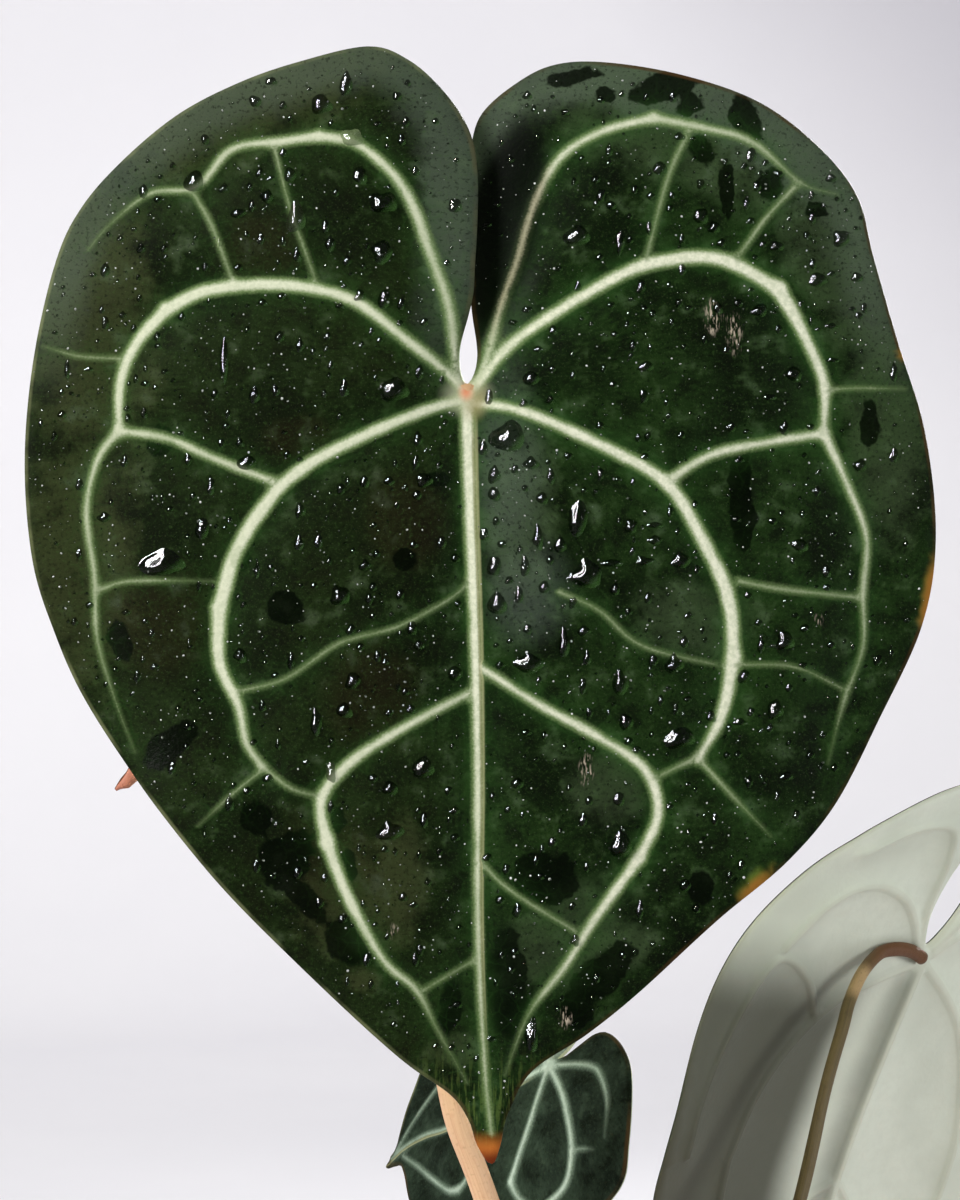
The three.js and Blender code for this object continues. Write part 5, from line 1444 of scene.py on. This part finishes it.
def build_bed():
    reach = inside_radius(MIX_LEVEL) - BED_GAP
    wall = [(reach, MIX_LEVEL - 6), (inside_radius(92) - BED_GAP, 92), (inside_radius(14) - BED_GAP, 14),
            (inside_radius(FLOOR) - 4.4, FLOOR + BED_GAP)]
    ways = [(math.cos(angle), math.sin(angle)) for angle in turns(BED_SIDES)]
    places, faces = [(0, 0, bed_height(0, 0))], []
    for i in range(1, BED_RINGS + 1):
        r = reach * i / BED_RINGS
        # The top curves down to the pot's wall over its last 4 mm
        places += [(x * r, y * r, bed_height(x * r, y * r) - max(0, r - reach + 4) * 0.5) for x, y in ways]
    places += [(x * r, y * r, z) for r, z in wall for x, y in ways]
    places.append((0, 0, FLOOR + BED_GAP))
    rings = BED_RINGS + len(wall)
    last = 1 + (rings - 1) * BED_SIDES
    for j in range(BED_SIDES):
        k = (j + 1) % BED_SIDES
        faces.append((0, 1 + j, 1 + k))
        for a in range(1, last, BED_SIDES):
            faces.append((a + j, a + BED_SIDES + j, a + BED_SIDES + k, a + k))
        faces.append((len(places) - 1, last + k, last + j))
    return np.array(places), faces


bed_places, bed_faces = build_bed()
from_axis = np.hypot(bed_places[:, 0], bed_places[:, 1])
strewn = (from_axis < STREWN_TO) & (from_axis > STREWN_FROM) & (bed_places[:, 2] > MIX_LEVEL - 4)
bark_bed = add_piece("mix_bed", bed_places, bed_faces, [earth], "bark_mix", ["potting_mix"], {"cover": strewn})

# %% Bark chips
BARK_COUNT, BARK_REACH = 32, 45
# Length, width and thickness, with the smallest share of each and how much chance adds to it
BARK_SIZES = [(15, 0.6, 0.6), (10, 0.6, 0.6), (5.5, 0.7, 0.5)]


def taken_apart(block):
    """The places and faces of a block, which is gone afterwards."""
    block.verts.index_update()
    places = np.array([v.co for v in block.verts])
    faces = [tuple(v.index for v in face.verts) for face in block.faces]
    block.free()
    return places, faces


def chip_shape(cuts):
    """A unit block with rounded corners, as places and faces."""
    block = bmesh.new()
    bmesh.ops.create_cube(block, size=1)
    bmesh.ops.subdivide_edges(block, edges=block.edges[:], cuts=cuts, use_grid_fill=True)
    places, faces = taken_apart(block)
    power = (np.abs(places * 2) ** 7).sum(1) ** (1 / 7)
    return places / power[:, None] * np.abs(places * 2).max(1)[:, None], faces


def rough_chip(size, seed, shape):
    """A shape at a size, with lumps all over and grain that runs along it."""
    places, faces = shape
    placed = []
    for p in places:
        grain = noise.noise(Vector((p[0] * 1.5 + seed, p[1] * 5, p[2] * 6 + seed)))
        lump = noise.noise(Vector((p[0] * 1.8, p[1] * 1.8 + seed, p[2] * 1.8)))
        placed.append(p * size * (1 + 0.16 * lump) + p * (2.0 * grain))
    return np.array(placed), faces


def build_chips():
    random, shape, parts = draws(7), chip_shape(5), []
    for i in range(BARK_COUNT):
        angle = i * math.pi * (3 - math.sqrt(5))
        reach = math.sqrt((i + 0.7) / BARK_COUNT) * BARK_REACH
        size = [full * (least + more * next(random)) for full, least, more in BARK_SIZES]
        tilt_x, tilt_y = [Matrix.Rotation((next(random) - 0.5) * 0.9, 3, axis) for axis in "XY"]
        turn = np.array(Matrix.Rotation(next(random) * math.pi, 3, "Z") @ tilt_y @ tilt_x)
        places, faces = rough_chip(size, i * 3.7, shape)
        at = (math.cos(angle) * reach, math.sin(angle) * reach, MIX_LEVEL + 1.2 + next(random) * 1.2)
        parts.append((places @ turn.T + at, faces))
    return joined(parts)


add_piece("bark_chips", *build_chips(), [bark], "bark_mix")


# %% A tree that scatters one shape over a surface
SCATTER_INPUTS = {"Shape": "Object", "Spacing": "Float", "Amount": "Float", "Smallest": "Float",
                  "Largest": "Float", "Tumble": "Float", "Seed": "Int", "Finish": "Material"}


def scatter_tree():
    tree = bpy.data.node_groups.new("scatter", "GeometryNodeTree")
    tree.interface.new_socket("Geometry", in_out="INPUT", socket_type="NodeSocketGeometry")
    for name, kind in SCATTER_INPUTS.items():
        tree.interface.new_socket(name, in_out="INPUT", socket_type="NodeSocket" + kind)
    tree.interface.new_socket("Geometry", in_out="OUTPUT", socket_type="NodeSocketGeometry")
    t = Tree(tree)
    given = t.node("NodeGroupInput")
    seed, full, smallest = (given.also(name) for name in ("Seed", "Tumble", "Smallest"))
    cover = t.node("GeometryNodeInputNamedAttribute", {"data_type": "FLOAT"}, {"Name": "cover"})
    spread = t.node("GeometryNodeDistributePointsOnFaces", {"distribute_method": "POISSON"},
                    {"Mesh": given.also("Geometry"), "Distance Min": given.also("Spacing"),
                     "Density Max": given.also("Amount"), "Density Factor": cover, "Seed": seed})
    # Each copy stands on its face, tumbled about two axes and turned freely about the third
    spin = t.node("ShaderNodeCombineXYZ", {}, {"X": full, "Y": full, "Z": math.pi})
    low = t.node("ShaderNodeVectorMath", {"operation": "SCALE"}, {"Vector": spin, "Scale": -1.0})
    tumble = t.node("FunctionNodeRandomValue", {"data_type": "FLOAT_VECTOR"}, {0: low, 1: spin, "Seed": seed})
    turned = t.node("FunctionNodeRotateRotation", {"rotation_space": "LOCAL"},
                    {"Rotation": spread.also("Rotation"), "Rotate By": tumble})
    # Small copies are much more common than large ones, and each is squashed in its own way
    chance = t.node("FunctionNodeRandomValue", {"data_type": "FLOAT"},
                    {2: 0.0, 3: 1.0, "Seed": seed + 7}, out=1)
    size = smallest + (given.also("Largest") - smallest) * chance ** 2.2
    squash = t.node("FunctionNodeRandomValue", {"data_type": "FLOAT_VECTOR"},
                    {0: (0.75, 0.75, 0.8), 1: (1.2, 1.2, 1.15), "Seed": seed + 11})
    scale = t.node("ShaderNodeVectorMath", {"operation": "SCALE"}, {"Vector": squash, "Scale": size})
    shape = t.node("GeometryNodeObjectInfo", {}, {"Object": given.also("Shape")}, out="Geometry")
    placed = t.node("GeometryNodeInstanceOnPoints", {},
                    {"Points": spread, "Instance": shape, "Rotation": turned, "Scale": scale})
    real = t.node("GeometryNodeRealizeInstances", {}, {"Geometry": placed})
    finished = t.node("GeometryNodeSetMaterial", {}, {"Geometry": real, "Material": given.also("Finish")})
    t.node("NodeGroupOutput", {}, {"Geometry": finished})
    return tree


scatter = scatter_tree()
print("scatter tree nodes:", len(scatter.nodes))


# %% Scatter it and keep the result as a plain mesh
def scattered(name, surface, shape, slot=None, **inputs):
    carrier = linked("carrier", surface.data.copy())
    modifier = carrier.modifiers.new("scatter", "NODES")
    modifier.node_group = scatter
    ids = {item.name: item.identifier for item in scatter.interface.items_tree if item.in_out == "INPUT"}
    for key, value in {"Shape": shape, **inputs}.items():
        modifier[ids[key]] = value
    mesh = finished_mesh(carrier)
    bpy.data.objects.remove(carrier)
    mesh.name = name
    mesh.materials.clear()
    mesh.materials.append(inputs["Finish"])
    mesh.polygons.foreach_set("material_index", np.zeros(len(mesh.polygons), np.int32))
    mesh.polygons.foreach_set("use_smooth", [True] * len(mesh.polygons))
    return declare(linked(name, mesh))


def loose_shape(name, places, faces):
    """A shape to scatter, kept out of the scene itself."""
    return bpy.data.objects.new(name, mesh_of(name, places, faces))


def pebble(seed, stretch):
    ball = bmesh.new()
    bmesh.ops.create_icosphere(ball, subdivisions=2, radius=1)
    places, faces = taken_apart(ball)
    lumps = np.array([1 + 0.35 * noise.noise(Vector(p * 1.4) + Vector((seed, 0, 0))) for p in places])
    return places * lumps[:, None] * stretch, faces


small_bark = loose_shape("small bark", *rough_chip((2.4, 1.5, 0.8), 5.0, chip_shape(1)))
grain_of_perlite = loose_shape("perlite grain", *pebble(2.0, (1, 0.85, 0.8)))
crumb = loose_shape("crumb", *pebble(6.0, (1, 0.8, 0.6)))
scattered("bark_bits", bark_bed, small_bark, "bark_mix", Spacing=0.0026, Amount=9e4, Smallest=0.7, Largest=2.6,
          Tumble=0.7, Seed=3, Finish=bark)
scattered("perlite_grains", bark_bed, grain_of_perlite, "bark_mix", Spacing=0.0055, Amount=2.6e4, Smallest=0.6,
          Largest=1.9, Tumble=1.5, Seed=8, Finish=perlite)
scattered("crumbs", bark_bed, crumb, "bark_mix", Spacing=0.0017, Amount=1.6e5, Smallest=0.25, Largest=0.9,
          Tumble=1.5, Seed=14, Finish=earth)

# %% [markdown]
# ## Water drops
# The large blade has just been sprayed. Water beads on its waxy face in domes, from specks to the size of a
# pea, pulled a little downhill where they are big. Their dark bodies are painted shade, and the glow on their
# far sides and the white of many specks are painted light. Big drops are shaped one by one on the blade's own
# form, so they hug the veins. The specks are scattered by the same tree as the crumbs of the mix.

# %% Where the big drops are
# By pixel of the photograph: x, y, width, height
BIG_DROPS = [
    (494, 494, 12, 14), (525, 488, 6, 7), (542, 498, 12, 12), (584, 490, 6, 7), (578, 518, 19, 36),
    (496, 521, 7, 9), (538, 537, 10, 24), (560, 545, 12, 16), (502, 544, 9, 8), (520, 549, 6, 8),
    (494, 566, 13, 21), (525, 566, 9, 21), (550, 560, 8, 9), (587, 573, 33, 26), (544, 587, 12, 11),
    (509, 580, 8, 8), (497, 603, 19, 22), (519, 595, 8, 18), (573, 603, 8, 12), (564, 643, 11, 28),
    (584, 631, 13, 10), (529, 663, 29, 19), (587, 658, 8, 15), (583, 686, 8, 16), (620, 682, 17, 23),
    (674, 664, 18, 18), (500, 665, 9, 8), (655, 525, 15, 7), (631, 526, 13, 14), (655, 540, 15, 9),
    (645, 561, 18, 9), (612, 563, 20, 8), (681, 560, 19, 16), (615, 589, 9, 12), (67, 369, 6, 18),
    (89, 369, 10, 4), (224, 360, 8, 48), (254, 395, 10, 18), (62, 414, 8, 9), (144, 413, 6, 12),
    (228, 414, 6, 9), (155, 387, 6, 6), (247, 462, 20, 14), (211, 485, 8, 18), (193, 496, 8, 8),
    (104, 517, 14, 10), (202, 528, 14, 22), (162, 562, 46, 26), (199, 586, 5, 11), (126, 612, 9, 6),
    (257, 569, 6, 16), (660, 168, 14, 14), (701, 184, 10, 10), (670, 208, 8, 8), (701, 216, 16, 16),
    (714, 227, 12, 12), (757, 186, 8, 12), (777, 246, 14, 10), (831, 178, 12, 8), (841, 238, 18, 17),
    (818, 279, 19, 14), (857, 277, 12, 10), (760, 310, 15, 14), (779, 329, 8, 9), (832, 326, 12, 6),
    (794, 374, 16, 16), (770, 397, 14, 6), (833, 360, 14, 5), (646, 366, 14, 12), (894, 372, 8, 18),
    (852, 199, 5, 5), (846, 210, 5, 5), (856, 228, 5, 5), (861, 218, 5, 5), (837, 199, 5, 5),
    (609, 150, 6, 14), (582, 158, 6, 6), (601, 195, 8, 14), (635, 189, 6, 9), (651, 196, 9, 8),
    (596, 203, 6, 6), (611, 205, 10, 9), (577, 235, 24, 20), (620, 242, 8, 24), (630, 240, 6, 8),
    (600, 257, 7, 8), (578, 286, 7, 10), (641, 286, 9, 14), (649, 228, 5, 14), (601, 100, 7, 6),
    (646, 97, 6, 8), (565, 112, 8, 6), (394, 389, 28, 24), (418, 439, 9, 15), (416, 462, 7, 14),
    (424, 480, 17, 14), (389, 481, 12, 8), (508, 436, 34, 31), (494, 474, 12, 17), (531, 463, 15, 12),
    (515, 469, 7, 9), (551, 476, 8, 16), (531, 378, 15, 15), (550, 400, 8, 8), (484, 534, 9, 14),
    (271, 81, 12, 8), (346, 83, 12, 24), (321, 104, 20, 20), (331, 123, 6, 7), (255, 101, 12, 12),
    (283, 105, 8, 8), (290, 118, 5, 8), (352, 137, 21, 18), (205, 139, 9, 10), (194, 181, 20, 22),
    (290, 174, 12, 15), (271, 178, 9, 6), (267, 196, 12, 14), (360, 175, 13, 19), (383, 202, 24, 23),
    (238, 213, 15, 10), (296, 217, 18, 32), (336, 192, 5, 8), (382, 251, 20, 21), (330, 243, 10, 15),
    (283, 241, 5, 11), (297, 255, 8, 14), (205, 267, 7, 9), (384, 299, 12, 18), (360, 295, 9, 13),
    (219, 242, 5, 9), (397, 96, 8, 10), (626, 722, 13, 18), (629, 741, 9, 9), (680, 738, 29, 22),
    (711, 716, 9, 12), (744, 676, 12, 14), (761, 645, 8, 16), (785, 640, 18, 20), (775, 709, 16, 20),
    (751, 712, 8, 10), (740, 722, 14, 8), (770, 728, 8, 8), (727, 755, 8, 7), (738, 754, 8, 7),
    (749, 782, 7, 13), (787, 776, 12, 9), (619, 799, 11, 15), (621, 845, 22, 26), (688, 699, 8, 7),
    (676, 709, 6, 12), (789, 743, 6, 7), (291, 661, 7, 16), (353, 680, 16, 16), (419, 645, 10, 10),
    (455, 673, 15, 15), (316, 722, 11, 28), (344, 710, 15, 16), (389, 713, 8, 8), (411, 709, 10, 10),
    (423, 767, 21, 22), (390, 788, 15, 15), (424, 820, 8, 16), (390, 831, 24, 20), (268, 778, 11, 9),
    (455, 837, 10, 8), (331, 772, 10, 20), (395, 851, 5, 8), (419, 854, 5, 8), (428, 882, 7, 8),
    (532, 1035, 12, 36), (800, 545, 18, 12), (860, 465, 14, 12), (340, 595, 20, 20), (300, 510, 10, 16),
    (365, 565, 12, 10), (685, 885, 12, 12), (640, 910, 8, 18), (412, 628, 10, 14), (240, 655, 14, 14),
    (105, 270, 10, 14), (517, 783, 12, 12), (300, 345, 8, 14), (455, 205, 10, 14), (420, 950, 8, 12),
    (575, 940, 9, 12), (500, 900, 9, 10),
]
print(len(BIG_DROPS), "big drops")


# %% Water
def water_finish():
    # Painted shade: the near-black ground, seen at 0.6 alpha, darkens each drop's body
    water = Finish("water", (3, 8, 2))
    # Painted light: the side of each drop away from the light glows green, as if the drop gathered light there
    water.paint(water.attribute("caustic_glow").rise(0.25, 0.95), (66, 104, 48))
    water.paint(water.attribute("over_vein") * 0.75, (156, 178, 124))
    return water.skin(0.03, IOR=1.27, Alpha=0.6)


water = water_finish()
# Skirt of a drop: its reach as a share of the outline, and how deep and how shallow it sits in the sheet
SKIRT, SUNK, AT_LEAST_SUNK = 1.22, -0.35, -0.12
# Height of a drop as a share of its half width
TALLNESS = 0.85
# How far from the margin and from a vein the strewn drops keep
DROP_MARGIN, DROP_VEIN = 2.5, 0.5


def drop_cluster(name, blade, listed, seed, sides=20, rings=7):
    """Closed domes on the upper face of a blade. Listed are x, y, half width and half height."""
    random, spots, rise_by, caustic_glow, faces = draws(seed), [], [], [], []
    for x, y, wide, tall in listed:
        first, small = len(spots), min(wide, tall)
        lobes = [(next(random) * 2 * math.pi, 0.13 * next(random)) for _ in range(3)]
        sag = min(0.35, 0.06 * max(wide, tall))
        high = small * TALLNESS * (0.85 + 0.3 * next(random))
        taper = 0.10 + 0.30 * next(random)
        outline = []
        for angle in turns(sides):
            bend = 1 + sum(size * math.cos((n + 2) * angle + phase) for n, (phase, size) in enumerate(lobes))
            narrow = 1 - taper * math.sin(angle)
            outline.append((math.cos(angle) * wide * bend * narrow, math.sin(angle) * tall * bend))
        for i in range(rings):
            share = SKIRT if i == 0 else 1 - (i - 1) / (rings - 1)
            z = high * (1 - share**2)
            for dx, dy in outline:
                spots.append((x + dx * share, y + dy * share - sag * max(z, 0) / high * small))
                rise_by.append(z if i else min(max(z, SUNK), AT_LEAST_SUNK))
                # How far each place lies toward the side away from the light, for the painted glow
                caustic_glow.append((dx / wide * 0.75 - dy / tall * 0.66) * share)
        head = len(spots)
        faces += tube_faces(sides, rings, head + 1, head, first)
        spots += [(x, y - sag * small), (x, y)]
        rise_by += [high, SUNK]
        caustic_glow += [0, 0]
    over_vein = rise(0.3, -0.3, blade.read(np.array([drop[:2] for drop in listed]))["beside"])
    return add_piece(name, blade.upper(np.array(spots), np.array(rise_by)), faces, [water],
                     attributes={"caustic_glow": caustic_glow, "over_vein": np.repeat(over_vein, sides * rings + 2)})


def listed_drops():
    drops = np.array(BIG_DROPS, float)
    return [tuple(row) for row in np.c_[on_leaf(drops[:, :2]), drops[:, 2:] * MM_PER_PIXEL / 2]]


def strewn_drops(blade, count, seed, smallest, largest, clear_of):
    """Middling drops at random places, none in another."""
    random, found = draws(seed), []
    corner, far = blade.margin.min(0), blade.margin.max(0)
    spots = np.array([[low + next(random) * (high - low) for low, high in zip(corner, far)]
                      for _ in range(count * 3)])
    good = blade.inside(spots)
    known = blade.read(spots[good])
    good[good] &= (known["edge"] > DROP_MARGIN) & (known["beside"] > DROP_VEIN)
    for (x, y), fine in zip(spots, good):
        size = smallest + (largest - smallest) * next(random) ** 2.4
        stretch = 0.75 + 1.1 * next(random) ** 2
        if fine and len(found) < count and all(math.hypot(x - a, y - b) > size * 1.3 + max(c, d)
                                               for a, b, c, d in clear_of + found):
            found.append((x, y, size, size * stretch))
    return found


big = listed_drops()
middling = strewn_drops(blades["large"], 1350, 91, 0.20, 0.95, big)
big_drops = drop_cluster("big_drops", blades["large"], big, 17)
middling_drops = drop_cluster("middling_drops", blades["large"], middling, 29, sides=9, rings=4)

# %% Specks of water
def dome(sides):
    places = [(math.cos(angle) * wide, math.sin(angle) * wide, z)
              for wide, z in ((1, -0.3), (0.75, 0.32)) for angle in turns(sides)]
    return places + [(0, 0, 0.55), (0, 0, -0.4)], tube_faces(sides, 2, 2 * sides + 1, 2 * sides)


def glint_spray_finish():
    glint_spray = Finish("fine spray with painted glints", (66, 80, 60))
    # Painted glints: noise turns many specks near white
    glint_spray.paint(glint_spray.grain(glint_spray.place(), 1.7, 2.0, 0.6).rise(0.42, 0.64), (250, 252, 248))
    return glint_spray.skin(0.2, Alpha=0.85)


scattered("specks_of_water", large_leaf, loose_shape("speck", *dome(8)), Spacing=0.0007, Amount=1.0e5,
          Smallest=0.07, Largest=0.27, Tumble=0.0, Seed=5, Finish=glint_spray_finish())

# %% Say what the sky and the fill light
for made in (big_drops, middling_drops):
    wet_things.objects.link(made)
for made in bpy.context.scene.objects:
    if made.type == "MESH" and made is not room:
        plant_things.objects.link(made)
